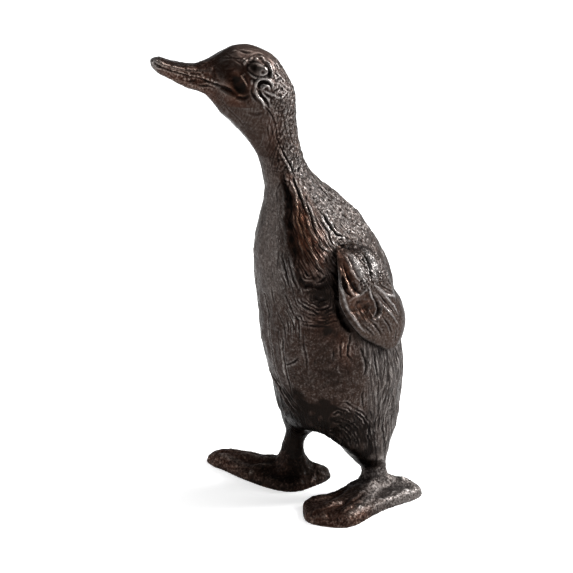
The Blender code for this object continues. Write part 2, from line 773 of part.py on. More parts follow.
def wing_fasteners(side_name, side, parts, cutters):
    """The washer on the inner boss and the screw through it into the wing's spigot."""
    face = WING_BOSS_FACE - FIT_GAP
    place = (SPIGOT_BACK, SPIGOT_HEIGHT)
    start, end = (side * (face - WASHER_THICKNESS), *place), (side * face, *place)
    washer = rod(f"{side_name}_wing_washer", WASHER_RADIUS, start, end, parts)
    start, end = (side * (face - 2 * WALL), *place), (side * (face + WALL), *place)
    cut(washer, rod("washer_hole", WING_SCREW_RADIUS + FIT_GAP, start, end, cutters))
    under_head = face - WASHER_THICKNESS - FIT_GAP
    shank = WING_BOSS_FACE + SPIGOT_SETBACK + WING_SCREW_BITE - under_head
    bolt = screw(
        f"{side_name}_wing_screw",
        (side * under_head, *place),
        (side, 0.0, 0.0),
        shank,
        WING_SCREW_RADIUS,
        WING_SCREW_HEAD_RADIUS,
        WING_SCREW_HEAD_HEIGHT,
        parts,
        cutters,
    )
    return washer, bolt


def body_screw(name, place, parts, cutters):
    seat = body_screw_seat(place)
    return screw(
        name,
        (seat, *place),
        (1.0, 0.0, 0.0),
        SCREW_BITE - seat,
        SCREW_RADIUS,
        SCREW_HEAD_RADIUS,
        SCREW_HEAD_HEIGHT,
        parts,
        cutters,
    )


def finish_piece(piece, spec):
    """Give a piece its surface and shade it smooth between its real edges."""
    piece.data.materials.clear()
    piece.data.materials.append(material(spec))
    piece.data.polygons.foreach_set("material_index", [0] * len(piece.data.polygons))
    piece.data.shade_smooth()
    piece.data.set_sharp_from_angle(angle=SHARP_EDGE)


def centre_on_footprint(pieces):
    """Move every mesh so that the origin is under the middle of the ornament."""
    corners = np.array([vertex.co for piece in pieces for vertex in piece.data.vertices])
    low, high = corners.min(axis=0), corners.max(axis=0)
    shift = Matrix.Translation((-(low[0] + high[0]) / 2, -(low[1] + high[1]) / 2, -low[2]))
    for piece in pieces:
        piece.data.transform(shift)


def build():
    parts, cutters = start_scene()
    skin = figure_skin(cutters)
    space = hollow(cutters)

    castings = [
        body_half("left_body_half", 1.0, skin, space, parts, cutters),
        body_half("right_body_half", -1.0, skin, space, parts, cutters),
        head_and_neck(skin, parts, cutters),
    ]
    wings = [wing("left_wing", 1.0, parts, cutters), wing("right_wing", -1.0, parts, cutters)]
    fasteners = [
        body_screw("upper_body_screw", UPPER_SCREW, parts, cutters),
        body_screw("lower_body_screw", LOWER_SCREW, parts, cutters),
    ]
    for side_name, side in (("left", 1.0), ("right", -1.0)):
        fasteners.extend(wing_fasteners(side_name, side, parts, cutters))

    for pieces, spec in ((castings, CAST_IRON), (wings, WING_IRON), (fasteners, STEEL)):
        for piece in pieces:
            finish_piece(piece, spec)
    centre_on_footprint(castings + wings + fasteners)

    for tool in cutters.objects:
        tool.hide_render = True
        tool.hide_viewport = True
        tool.display_type = "WIRE"


build()
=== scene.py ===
"""Cast iron duckling ornament, dressed from its packed castings.

The three castings of the body are skinned as one surface, so that the modelling runs across their
joints as it does under a wax patina, and that surface is then carved with the sculptor's strokes and
parted again into the castings. The wings get the same treatment, and the screws keep their solids.
All carving is worked out in millimetres from the point on the floor midway between the ankles.
"""

import math
from functools import partial
from types import SimpleNamespace

import bmesh
import bpy
import numpy as np
from mathutils import Matrix, Vector, noise
from mathutils.bvhtree import BVHTree
from mathutils.kdtree import KDTree


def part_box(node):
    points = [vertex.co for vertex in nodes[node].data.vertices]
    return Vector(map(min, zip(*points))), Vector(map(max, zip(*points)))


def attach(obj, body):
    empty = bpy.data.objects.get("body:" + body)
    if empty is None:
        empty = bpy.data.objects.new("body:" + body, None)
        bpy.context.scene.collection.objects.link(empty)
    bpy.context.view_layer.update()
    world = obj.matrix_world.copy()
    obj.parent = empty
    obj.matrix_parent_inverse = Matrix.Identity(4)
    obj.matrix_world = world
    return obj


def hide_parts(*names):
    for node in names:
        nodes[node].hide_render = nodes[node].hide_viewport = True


MM = 0.001

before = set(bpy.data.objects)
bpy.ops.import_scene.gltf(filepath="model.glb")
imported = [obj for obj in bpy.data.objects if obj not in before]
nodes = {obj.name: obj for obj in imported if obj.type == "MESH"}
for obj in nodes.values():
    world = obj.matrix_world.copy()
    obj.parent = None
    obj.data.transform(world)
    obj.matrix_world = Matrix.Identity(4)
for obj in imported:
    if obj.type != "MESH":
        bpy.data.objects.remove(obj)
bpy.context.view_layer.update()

# Gap that the castings keep between them, and how finely the surfaces are skinned
HALF_GAP = 0.15
SKIN_VOXEL = 0.56
WING_VOXEL = 0.4
# How far the castings are pushed into one another so that one skin covers them, and rounds of softening after
JOINT_OVERLAP = 0.5
SOFTENING_ROUNDS = 110

# Blender's noise would start from the clock, so it gets a seed as the random draws do
SEED = 7
CHANCE = np.random.default_rng(SEED)
noise.seed_set(SEED)

# The seat of the neck leans forward, and the head is turned to the duckling's right
SEAT_UP = Vector((0.0, -math.sin(math.radians(18.0)), math.cos(math.radians(18.0))))
HEAD_TURN = math.radians(25.0)
NECK_ROOT_BACK = -27.0
HEAD_FORWARD = np.array((-math.sin(HEAD_TURN), -math.cos(HEAD_TURN), 0.0))
HEAD_LEFT = np.array((math.cos(HEAD_TURN), -math.sin(HEAD_TURN), 0.0))
HEAD_ROOT = np.array((0.0, NECK_ROOT_BACK, 0.0))

# Height, and how far forward of the ankles the middle of the torso lies there
TORSO_MIDDLE = np.array(
    (
        (41.0, 0.5),
        (72.0, -0.4),
        (95.0, -4.4),
        (117.0, -7.4),
        (140.0, -12.0),
        (163.0, -18.2),
        (180.0, -26.4),
        (192.0, -32.5),
    )
)

# Middle plane of the figure and the place of the wing spigots, read off the castings
screw_low, screw_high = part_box("left_wing_screw")
SPIGOT_BACK = 2.0
ORIGIN = np.array(
    (
        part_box("right_body_half")[1].x / MM + HALF_GAP,
        (screw_low.y + screw_high.y) / 2 / MM - SPIGOT_BACK,
        0.0,
    )
)
SPIGOT_HEIGHT = (screw_low.z + screw_high.z) / 2 / MM
# The plug that closes the hole of each spigot: radius, and how far from the middle plane it starts and ends
SPIGOT_PLUG = (6.0, 22.0, 32.5)

# Levels where the body ends, the neck begins and the head begins
BODY_TOP = 197.0
NECK_FROM = 190.0
HEAD_FROM = 225.0
# How far one degree reaches round the torso
MM_PER_DEGREE = 0.6
# Distance between the places of a stroke that follows the surface
WALK_STEP = 0.45


def node_points(name):
    """A casting's corners in millimetres from the ankles, and its faces."""
    mesh = nodes[name].data
    points = np.empty(len(mesh.vertices) * 3, np.float32)
    mesh.vertices.foreach_get("co", points)
    points = points.reshape(-1, 3).astype(float) / MM - ORIGIN
    return points, [tuple(face.vertices) for face in mesh.polygons]


def seat_level():
    """How high the neck seat lies along its own lean."""
    up = np.array(SEAT_UP)
    tops = [(node_points(name)[0] @ up).max() for name in ("left_body_half", "right_body_half")]
    return max(tops) + HALF_GAP


def mesh_object(name, points, faces):
    mesh = bpy.data.meshes.new(name)
    mesh.from_pydata([tuple(point) for point in points], [], faces)
    mesh.update()
    made = bpy.data.objects.new(name, mesh)
    bpy.context.scene.collection.objects.link(made)
    return made


def evaluated_mesh(source):
    bpy.context.view_layer.update()
    found = source.evaluated_get(bpy.context.evaluated_depsgraph_get())
    return bpy.data.meshes.new_from_object(found)


def skinned(source, voxel):
    """The outermost closed surface of an object, remeshed evenly, as points and quads."""
    remesh = source.modifiers.new("even", "REMESH")
    remesh.mode = "VOXEL"
    remesh.voxel_size = voxel
    mesh = evaluated_mesh(source)
    bpy.data.objects.remove(source, do_unlink=True)
    bm = bmesh.new()
    bm.from_mesh(mesh)
    bpy.data.meshes.remove(mesh)
    top = max(bm.verts, key=lambda vertex: vertex.co.z)
    seen = {top}
    edge_of_search = [top]
    while edge_of_search:
        unshaded_share = []
        for vertex in edge_of_search:
            for edge in vertex.link_edges:
                other = edge.other_vert(vertex)
                if other not in seen:
                    seen.add(other)
                    unshaded_share.append(other)
        edge_of_search = unshaded_share
    bmesh.ops.delete(bm, geom=[vertex for vertex in bm.verts if vertex not in seen], context="VERTS")
    bm.verts.index_update()
    points = np.array([vertex.co for vertex in bm.verts], float)
    faces = [tuple(vertex.index for vertex in face.verts) for face in bm.faces]
    edges = np.array([(edge.verts[0].index, edge.verts[1].index) for edge in bm.edges])
    bm.free()
    return points, faces, edges


def soften(points, edges, share, rounds):
    """Pull every point towards the middle of its neighbours by its own share."""
    count = len(points)
    near, far = edges[:, 0], edges[:, 1]
    degree = np.bincount(near, minlength=count) + np.bincount(far, minlength=count)
    found = points.copy()
    for _ in range(rounds):
        for k in range(3):
            column = found[:, k]
            total = np.bincount(near, column[far], count) + np.bincount(far, column[near], count)
            found[:, k] = column + share * (total / degree - column)
    return found


def smooth_step(low, high, value):
    t = np.clip((value - low) / (high - low), 0.0, 1.0)
    return t * t * (3 - 2 * t)


def streaks(across, along, width, length, seed):
    """Uneven furrows that run along one direction: 1 at the bottom of each and 0 between them."""
    wander = 0.35 * width * waves(np.column_stack([across, along, 0.0 * along]), 1.2 * length, seed + 50, 8)
    places = np.column_stack([(across + wander) * length / width, along, 0.0 * along])
    return np.exp(-((waves(places, length, seed, 40) / 0.42) ** 2))


def pebbles(points, chosen, size):
    """Small knobs with creases between them on the chosen points: from -0.5 in a crease to 0.5 on a knob."""
    found = np.zeros(len(points))
    for i in np.flatnonzero(chosen):
        place = Vector(points[i]) / size
        place += noise.noise_vector(place * 0.6) * 0.6
        near, next_near = noise.voronoi(place)[0][:2]
        found[i] = min(2.2 * (next_near - near), 1.0) - 0.5
    return found


def head_terms(points):
    """Forward reach, distance to the head's left, and height."""
    moved = np.asarray(points) - HEAD_ROOT
    return moved @ HEAD_FORWARD, moved @ HEAD_LEFT, moved[..., 2]


def torso_terms(points):
    """Angle round the torso in degrees, 0 at either flank and -90 at its front, and height."""
    points = np.asarray(points)
    height = points[..., 2]
    middle = np.interp(height, TORSO_MIDDLE[:, 0], TORSO_MIDDLE[:, 1])
    return np.degrees(np.arctan2(points[..., 1] - middle, np.abs(points[..., 0]))), height


def normals_of(points, faces):
    mesh = bpy.data.meshes.new("measured")
    mesh.from_pydata(points.tolist(), [], faces)
    mesh.update()
    found = np.empty(len(points) * 3, np.float32)
    mesh.vertices.foreach_get("normal", found)
    bpy.data.meshes.remove(mesh)
    return found.reshape(-1, 3).astype(float)


def waves(points, length, seed, count=20):
    """Smooth noise of about unit size with features of a given length."""
    chance = np.random.default_rng(seed)
    directions = chance.normal(size=(count, 3))
    directions /= np.linalg.norm(directions, axis=1)[:, None]
    sizes = 2 * math.pi / (length * chance.uniform(0.7, 1.5, count))
    phases = chance.uniform(0, 2 * math.pi, count)
    found = np.zeros(len(points))
    for direction, size, phase in zip(directions, sizes, phases):
        found += np.sin(points @ (direction * size) + phase)
    return found / math.sqrt(count / 2)


class Carving:
    """Strokes gathered on one surface, then cut into it all at once."""

    def __init__(self, points, faces):
        self.points = points
        self.faces = faces
        self.surface = BVHTree.FromPolygons(points.tolist(), faces)
        self.tree = KDTree(len(points))
        for i, point in enumerate(points):
            self.tree.insert(point, i)
        self.tree.balance()
        self.cut = np.zeros(len(points))
        self.lip = np.zeros(len(points))
        self.raised = np.zeros(len(points))
        self.taken = np.zeros(len(points), bool)

    def mark(self, line, half_width, depth, blunt=False, sway=0.35):
        """Cut an unsteady groove along points on the surface, or raise a ridge where depth is negative."""
        count = len(line)
        for i, point in enumerate(line):
            taper = 1.0 if blunt or count < 3 else math.sin(math.pi * (i + 0.5) / count) ** 0.6
            unsteady = 1.0
            if count > 3:
                unsteady = 0.9 + 0.5 * noise.noise(point / 3.0)
                near_sway = noise.noise_vector(point / 2.6) * sway
                far_sway = noise.noise_vector(point / 7.0) * sway
                point = point + near_sway + far_sway
            width = half_width * (0.6 + 0.4 * taper)
            height = (depth if depth > 0 else -0.8 * depth) * taper * unsteady
            found = self.tree.find_range(point, 3.0 * width)
            if not found:
                continue
            where = np.array([item[1] for item in found])
            away = np.array([item[2] for item in found]) / width
            if depth > 0:
                self.cut[where] = np.maximum(self.cut[where], height * np.exp(-(away**2)))
                if half_width < 1.3:
                    lip = 0.05 * height * np.exp(-(((away - 1.75) / 0.55) ** 2))
                    self.lip[where] = np.maximum(self.lip[where], lip)
            else:
                self.raised[where] = np.maximum(self.raised[where], height * np.exp(-(away**2)))

    def relief(self):
        """How far every point moves out along its normal."""
        free = np.clip(1.0 - self.cut / 0.35, 0.0, 1.0)
        return self.raised + self.lip * free - self.cut

    def onto(self, origin, direction):
        return self.surface.ray_cast(Vector(origin), Vector(direction))[0]

    def torso_line(self, places, side):
        """A smooth line on the torso through places given by angle and height."""
        found = []
        for angle, height in spaced(places):
            turn = math.radians(angle)
            middle = np.interp(height, TORSO_MIDDLE[:, 0], TORSO_MIDDLE[:, 1])
            away = Vector((side * math.cos(turn), math.sin(turn), 0.0))
            found.append(self.onto(Vector((0.0, middle, height)) + away * 90.0, -away))
        return filled([point for point in found if point])

    def head_line(self, places, side):
        """A smooth line on one side of the head through places given by forward reach and height."""
        found = []
        for reach, height in spaced(places):
            start = HEAD_ROOT + HEAD_FORWARD * reach + HEAD_LEFT * side * 60.0
            found.append(self.onto(start + np.array((0.0, 0.0, height)), -side * HEAD_LEFT))
        return filled([point for point in found if point])

    def foot_line(self, places, side):
        """A smooth line on the top of a foot through places given by left and back distances."""
        found = [self.onto((across, back, 26.0), (0.0, 0.0, -1.0)) for across, back in spaced(places)]
        return filled([point for point in found if point])

    def walk(self, start, flow, length):
        """A line over the surface that follows a flow until it meets ground already carved."""
        place = Vector(start)
        found = []
        for _ in range(max(2, int(length / WALK_STEP))):
            hit, normal, _, _ = self.surface.find_nearest(place)
            if hit is None or self.taken[self.tree.find(hit)[1]]:
                break
            found.append(hit)
            direction = flow(hit)
            direction -= normal * direction.dot(normal)
            if direction.length < 1e-6:
                break
            place = hit + direction.normalized() * WALK_STEP
        return found

    def comb(self, inside, flow, tries, widths, depths, lengths, spacing):
        """Fill a region with strokes that keep a spacing from one another."""
        places = np.flatnonzero(inside & ~self.taken)
        for i in CHANCE.permutation(places)[:tries]:
            length = CHANCE.uniform(*lengths)
            width = CHANCE.uniform(*widths)
            depth = CHANCE.uniform(*depths)
            if self.taken[i]:
                continue
            line = self.walk(self.points[i], flow, length)
            if len(line) * WALK_STEP < 0.35 * lengths[0]:
                continue
            self.mark(line, width, depth)
            for point in line[::2]:
                where = [item[1] for item in self.tree.find_range(point, spacing)]
                self.taken[where] = True

    def pits(self, inside, count, widths, depths, spacing):
        """Scatter small pits over a region."""
        places = CHANCE.permutation(np.flatnonzero(inside))[: 6 * count]
        kept = []
        for i in places:
            if len(kept) == count:
                break
            width = CHANCE.uniform(*widths)
            depth = CHANCE.uniform(*depths)
            if self.taken[i]:
                continue
            kept.append(i)
            self.mark([Vector(self.points[i])], width, depth)
            self.taken[[item[1] for item in self.tree.find_range(self.points[i], spacing)]] = True


def spaced(places, step=0.6):
    """Places on a smooth curve through the given ones, closely spaced."""
    given = np.array(places, float)
    if len(given) == 1:
        return given
    padded = np.vstack([2 * given[0] - given[1], given, 2 * given[-1] - given[-2]])
    found = []
    for i in range(1, len(padded) - 2):
        before, here, there, after = padded[i - 1 : i + 3]
        pieces = max(2, int(np.linalg.norm(there - here) / step))
        for t in np.linspace(0.0, 1.0, pieces, endpoint=False):
            bend = (2 * before - 5 * here + 4 * there - after) * t**2
            twist = (3 * here - before - 3 * there + after) * t**3
            found.append(here + 0.5 * ((there - before) * t + bend + twist))
    found.append(given[-1])
    return np.array(found)


def filled(line, step=0.5):
    """The same line with no two points further apart than a step."""
    found = []
    for here, there in zip(line, line[1:]):
        pieces = max(1, int((there - here).length / step))
        if (there - here).length < 8.0:
            found.extend(here.lerp(there, k / pieces) for k in range(pieces))
    return found + line[-1:]


def joined_castings():
    """The three castings of the body in one mesh that overlaps at their joints, its spigot holes plugged."""
    every = []
    polygons = []
    up = np.array(SEAT_UP)
    seat = seat_level() + HALF_GAP
    for name in ("left_body_half", "right_body_half", "head_and_neck"):
        points, faces = node_points(name)
        if name == "left_body_half":
            points[np.abs(points[:, 0] - HALF_GAP) < 0.03, 0] -= JOINT_OVERLAP
        if name == "head_and_neck":
            points[np.abs(points @ up - seat) < 0.05] -= JOINT_OVERLAP * up
        polygons.extend(tuple(i + len(every) for i in face) for face in faces)
        every.extend(points.tolist())
    joined = mesh_object("joined_castings", every, polygons)

    radius, inner, outer = SPIGOT_PLUG
    bm = bmesh.new()
    bm.from_mesh(joined.data)
    for side in (-1.0, 1.0):
        middle = Vector((side * (inner + outer) / 2, SPIGOT_BACK, SPIGOT_HEIGHT))
        place = Matrix.Translation(middle) @ Matrix.Rotation(math.pi / 2, 4, "Y")
        bmesh.ops.create_cone(
            bm, cap_ends=True, segments=32, radius1=radius, radius2=radius, depth=outer - inner, matrix=place
        )
    bm.to_mesh(joined.data)
    bm.free()
    return joined


def figure_base():
    """The three castings of the body as one soft, even surface, brought to the photo's outline."""
    points, faces, edges = skinned(joined_castings(), SKIN_VOXEL)
    reach, _, height = head_terms(points)
    bill = smooth_step(30.0, 40.0, reach) * smooth_step(214.0, 222.0, height)
    foot = 1.0 - smooth_step(18.0, 34.0, points[:, 2])
    on_floor = points[:, 2] < 0.3
    share = 0.5 * (1.0 - 0.93 * np.maximum(bill, foot))
    share[on_floor] = 0.0
    points = soften(points, edges, np.full(len(points), 0.5) * ~on_floor, 4)
    points = soften(points, edges, share, SOFTENING_ROUNDS)
    for middle, radius, move in SHIFTS:
        away = ((points - np.array(middle)) ** 2).sum(1)
        near = np.exp(-away / radius**2)[:, None] * np.array(move)
        near[:, 2] *= smooth_step(1.0, 6.0, points[:, 2])
        points = points + near
    normals = normals_of(points, faces)
    points = points + normals * fuller(points, normals)[:, None]
    return points, faces, edges


def put_on(made, piece_material, node):
    """Give a finished piece its material, and let it stand for its casting on the one body."""
    made.data.materials.append(piece_material)
    made.data.shade_smooth()
    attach(made, "root")
    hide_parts(node)


def parted(points, faces, attributes):
    """The carved surface cut at the neck seat and the middle plane, as the castings are."""
    bm = bmesh.new()
    layers = {title: bm.verts.layers.float.new(title) for title in attributes}
    for i, point in enumerate(points):
        vertex = bm.verts.new(point)
        for title, layer in layers.items():
            vertex[layer] = attributes[title][i]
    bm.verts.ensure_lookup_table()
    for face in faces:
        bm.faces.new([bm.verts[i] for i in face])
    seat = Vector(SEAT_UP) * seat_level()
    middle = Vector((0.0, 0.0, 0.0))
    cuts = {
        "head_and_neck": ((seat, -SEAT_UP),),
        "left_body_half": ((seat, SEAT_UP), (middle, Vector((-1.0, 0.0, 0.0)))),
        "right_body_half": ((seat, SEAT_UP), (middle, Vector((1.0, 0.0, 0.0)))),
    }
    found = {}
    for name, planes in cuts.items():
        piece = bm.copy()
        for place, outwards in planes:
            every = piece.verts[:] + piece.edges[:] + piece.faces[:]
            bmesh.ops.bisect_plane(piece, geom=every, plane_co=place, plane_no=outwards, clear_outer=True)
            rim = [edge for edge in piece.edges if edge.is_boundary]
            bmesh.ops.holes_fill(piece, edges=rim, sides=0)
        found[name] = piece
    bm.free()
    return found


# Lean of the strokes on the body: angle round the torso, height, and degrees towards the back
LEANS = np.array(
    (
        (-24.0, 190.0, -20.0),
        (-30.0, 176.0, 0.0),
        (-31.0, 161.0, 26.0),
        (-18.0, 147.0, 32.0),
        (-50.0, 165.0, 4.0),
        (-52.0, 145.0, 14.0),
        (-62.0, 140.0, 2.0),
        (-58.0, 118.0, 22.0),
        (-30.0, 128.0, 50.0),
        (-34.0, 100.0, -10.0),
        (20.0, 170.0, 18.0),
        (20.0, 95.0, 4.0),
        (45.0, 80.0, -4.0),
        (-20.0, 75.0, 6.0),
        (-25.0, 50.0, 34.0),
        (20.0, 50.0, 12.0),
        (-60.0, 70.0, 10.0),
        (80.0, 120.0, 0.0),
        (85.0, 60.0, 0.0),
    )
)


def torso_flow(place):
    """Which way a stroke runs at a place on the body."""
    angle, height = torso_terms(np.array(place))
    away = ((LEANS[:, 0] - angle) * 0.5) ** 2 + (LEANS[:, 1] - height) ** 2
    weight = np.exp(-away / (2 * 9.0**2)) + 1e-9
    lean = math.radians(float((weight * LEANS[:, 2]).sum() / weight.sum()))
    turn = math.radians(float(angle))
    side = 1.0 if place[0] >= 0 else -1.0
    back = Vector((-side * math.sin(turn), math.cos(turn), 0.0))
    return back * math.sin(lean) + Vector((0.0, 0.0, -math.cos(lean)))


def wavy(flow, sway, seed):
    """A flow that sways with the place."""
    length, amount = sway
    phases = np.random.default_rng(seed).uniform(0, 2 * math.pi, 2)

    def found(place):
        turn = amount * math.sin(place[2] * 2 * math.pi / length + phases[0])
        turn += 0.7 * amount * math.sin((place[0] + place[1]) * 2 * math.pi / (length * 0.8) + phases[1])
        direction = flow(place)
        turned = Matrix.Rotation(turn, 3, Vector((place[0], place[1], 0.0)).normalized())
        return turned @ direction

    return found


# Hollow between the breast and the shoulder: height, angle of its front edge, depth, how far it reaches back
CHEST_HOLLOW = np.array(
    (
        (128.0, -46.0, 0.0, 8.0),
        (134.0, -50.0, 0.9, 10.0),
        (144.0, -52.0, 1.3, 12.0),
        (153.0, -55.0, 1.5, 12.0),
        (161.0, -57.0, 1.8, 10.0),
        (166.0, -59.0, 2.0, 8.0),
        (171.0, -55.0, 2.2, 6.5),
        (178.0, -52.0, 2.2, 5.0),
        (184.0, -53.0, 1.6, 3.6),
        (191.0, -52.0, 0.0, 2.4),
    )
)
# Strokes on the body: half width, depth, then angle and height of the points along it (mm, degrees)
BODY_STROKES = (
    (0.8, 0.9, ((-58, 187), (-52, 183.5), (-51, 179), (-54, 174.6), (-55, 170.4), (-59, 166), (-57, 161.6))),
    (0.6, 0.9, ((-57, 185.9), (-45, 185.7), (-34, 185.1))),
    (0.8, -1.6, ((-31, 186), (-31, 182.4), (-31, 179.4), (-33, 176.9), (-37, 173))),
    (0.6, 1.5, ((-22, 187), (-25, 184.4), (-26, 181.5), (-26, 178.1), (-26, 175.6), (-29, 171.9))),
    (0.7, -1.3, ((-20, 182), (-21, 179.7), (-23, 176.8), (-24, 173.9), (-25, 171), (-25, 167))),
    (0.7, -1.2, ((-17, 176), (-18, 173.8), (-19, 170.9), (-21, 167.7), (-22, 164.3), (-20, 161.3))),
    (0.6, 1.3, ((-21, 174), (-22, 170), (-24, 166), (-26, 162), (-24, 157))),
    (0.7, -1.1, ((-46, 172), (-47, 167.8), (-48, 162))),
    (0.7, -1.3, ((-43, 168), (-42, 163.7), (-41, 160), (-40, 155))),
    (0.7, -1.2, ((-29, 168), (-31, 163.7), (-30, 160), (-27, 156))),
    (0.7, -1.1, ((-36, 165), (-37, 160), (-35, 154), (-34, 150.8), (-31, 146.8), (-30, 143), (-28, 141))),
    (0.6, -0.9, ((-25, 159), (-22, 153.8), (-20, 151.6), (-15, 149.6))),
    (0.6, -0.9, ((-44, 156), (-43, 150), (-42, 145.7), (-40, 143.1), (-39, 140.4))),
    (0.7, -0.9, ((-50, 152), (-49, 147), (-49, 143), (-47, 139), (-46, 136.6), (-42, 135.2), (-35, 135.4))),
    (0.6, -0.6, ((-45, 140.4), (-44, 138.2), (-41, 136.9), (-38, 137.6))),
    (1.5, 1.3, ((-47, 135), (-45, 132), (-40, 132.4), (-35, 131.8), (-28, 132.4))),
    (0.8, 0.8, ((-36, 133.4), (-30, 134.6), (-24, 137.5))),
    (0.7, -0.5, ((-48, 131), (-44, 130.2), (-38, 130.8), (-34, 129.8))),
    (0.7, -0.4, ((-59, 160), (-58, 156.5), (-60, 152), (-62, 146.8))),
    (0.8, 1.2, ((-62, 150), (-63, 146.3), (-61, 141.2), (-60, 134.6), (-58, 130))),
    (0.8, -0.4, ((-56, 151), (-54, 145.3), (-53, 140.5), (-52, 136), (-49, 131), (-47, 125))),
    (0.7, 1.0, ((-57, 147), (-55.5, 140), (-54, 135), (-50, 129))),
    (0.8, 0.9, ((-64, 126), (-60, 119), (-54, 111))),
    (0.9, 0.8, ((-38, 127), (-34, 124.5), (-29, 125))),
    (0.7, 1.0, ((-11, 105), (-13, 101), (-15, 97.3), (-16, 92.6), (-13, 88.4))),
    (0.6, -0.7, ((-19, 101), (-21, 96.4))),
    (0.6, -0.6, ((-24, 99), (-25, 93.6))),
    (0.6, 0.7, ((-22, 99), (-23, 91))),
    (0.6, 0.6, ((-28, 97), (-30, 89))),
    (0.6, -0.7, ((-27, 87), (-27.5, 84), (-26, 82.4))),
    (0.9, 1.3, ((-3, 95), (-1, 90), (0, 85), (-3, 80))),
    (0.7, 0.9, ((10, 91), (9, 85), (11, 76))),
    (0.6, -0.8, ((3, 88), (3.4, 84), (2, 81))),
    (0.6, 0.7, ((-5, 70), (-7, 65), (-5, 59))),
    (0.8, 2.0, ((-5, 169), (-4, 165), (-3, 161.4), (0, 158.4), (6, 156))),
    (0.8, -0.9, ((-9, 168), (-9, 164), (-7, 160))),
    (0.6, 1.0, ((27, 193), (4, 190.5), (-10, 188))),
    (0.7, 1.3, ((31, 182), (31, 178.5), (30, 175.6))),
    (0.6, 0.7, ((37, 169), (43, 163.7))),
    (2.2, 1.5, ((-20, 122), (-17, 114), (-11, 106))),
)
BELLY_SEAM = (0.6, 1.0, ((-90, 122), (-90, 100), (-90, 80), (-89, 66)))
# A branched crease on the left of the belly, and folds that run from the seam to the inside of the left thigh
BELLY_FOLDS = (
    (0.7, 1.5, ((-72, 101), (-73, 93), (-74, 86), (-76, 79), (-75, 72), (-73, 66))),
    (0.6, 0.8, ((-58, 91), (-62, 88), (-69, 85.2), (-74, 84))),
    (0.8, 0.9, ((-106, 72), (-97, 67.5), (-84, 61), (-71, 54))),
    (0.6, -1.2, ((-111, 74), (-103, 69), (-90, 61.5), (-76, 53))),
    (0.6, -1.0, ((-100, 73), (-90, 67.5), (-79, 61), (-68, 55))),
    (0.6, 0.6, ((-84, 69), (-75, 64), (-66, 58))),
)
# The nested arcs are a little flatter than circles, and this many mm to a degree round the torso
ARC_MM_PER_DEGREE = 0.63
ARC_SQUASH = 0.9
# Nested arcs: middle (angle, height), radii, start and end of the sweep from the flank downwards, depth
NESTED_ARCS = (
    ((-36.0, 127.0), (4.5, 6.6, 8.4, 10.6, 12.6, 15.0, 17.4, 19.6), (6.0, 176.0), 0.75),
    ((-46.0, 33.0), (12.0, 14.6, 17.0, 19.6, 22.0, 24.4, 27.0, 29.4, 31.8, 34.2, 36.6), (-78.0, -4.0), 0.8),
)

# Regions of generated strokes: angles, heights, tries, half width, depth, length, then length and amount of
# their sway, spacing
BODY_FIELDS = (
    ((-50.0, -10.0), (138.0, 190.0), 900, (0.5, 0.6), (0.25, 0.7), (8.0, 22.0), (12.0, 0.25), 1.6),
    ((-78.0, -50.0), (98.0, 152.0), 200, (0.5, 0.65), (0.2, 0.6), (10.0, 30.0), (20.0, 0.2), 3.0),
    ((-30.0, 6.0), (92.0, 124.0), 260, (0.5, 0.65), (0.1, 0.36), (4.0, 12.0), (14.0, 0.4), 2.8),
    ((-72.0, 4.0), (66.0, 98.0), 200, (0.5, 0.6), (0.06, 0.28), (2.0, 7.0), (14.0, 0.5), 3.0),
    ((-90.0, -4.0), (36.0, 62.0), 200, (0.5, 0.6), (0.1, 0.35), (4.0, 14.0), (12.0, 0.3), 3.0),
    ((-2.0, 110.0), (40.0, 116.0), 260, (0.5, 0.7), (0.3, 0.9), (10.0, 40.0), (26.0, 0.14), 3.4),
    ((38.0, 110.0), (108.0, 178.0), 260, (0.5, 0.65), (0.15, 0.5), (8.0, 26.0), (18.0, 0.2), 3.0),
    ((-14.0, 60.0), (146.0, 186.0), 420, (0.5, 0.65), (0.3, 0.7), (2.0, 6.0), (6.0, 0.7), 2.4),
    ((-100.0, -60.0), (62.0, 182.0), 160, (0.5, 0.6), (0.05, 0.25), (3.0, 12.0), (15.0, 0.6), 4.5),
)
# Regions of small pits on the body: angles, heights, count, half width, depth, spacing
BODY_PITS = (
    ((-14.0, 100.0), (146.0, 197.0), 1900, (0.5, 0.85), (0.12, 0.36), 1.1),
    ((-70.0, 2.0), (60.0, 136.0), 500, (0.5, 0.6), (0.05, 0.15), 1.8),
    ((-90.0, -58.0), (60.0, 184.0), 400, (0.5, 0.6), (0.04, 0.12), 2.0),
)


def within(first, second, ranges, also):
    (low_first, high_first), (low_second, high_second) = ranges
    return (first > low_first) & (first < high_first) & (second > low_second) & (second < high_second) & also


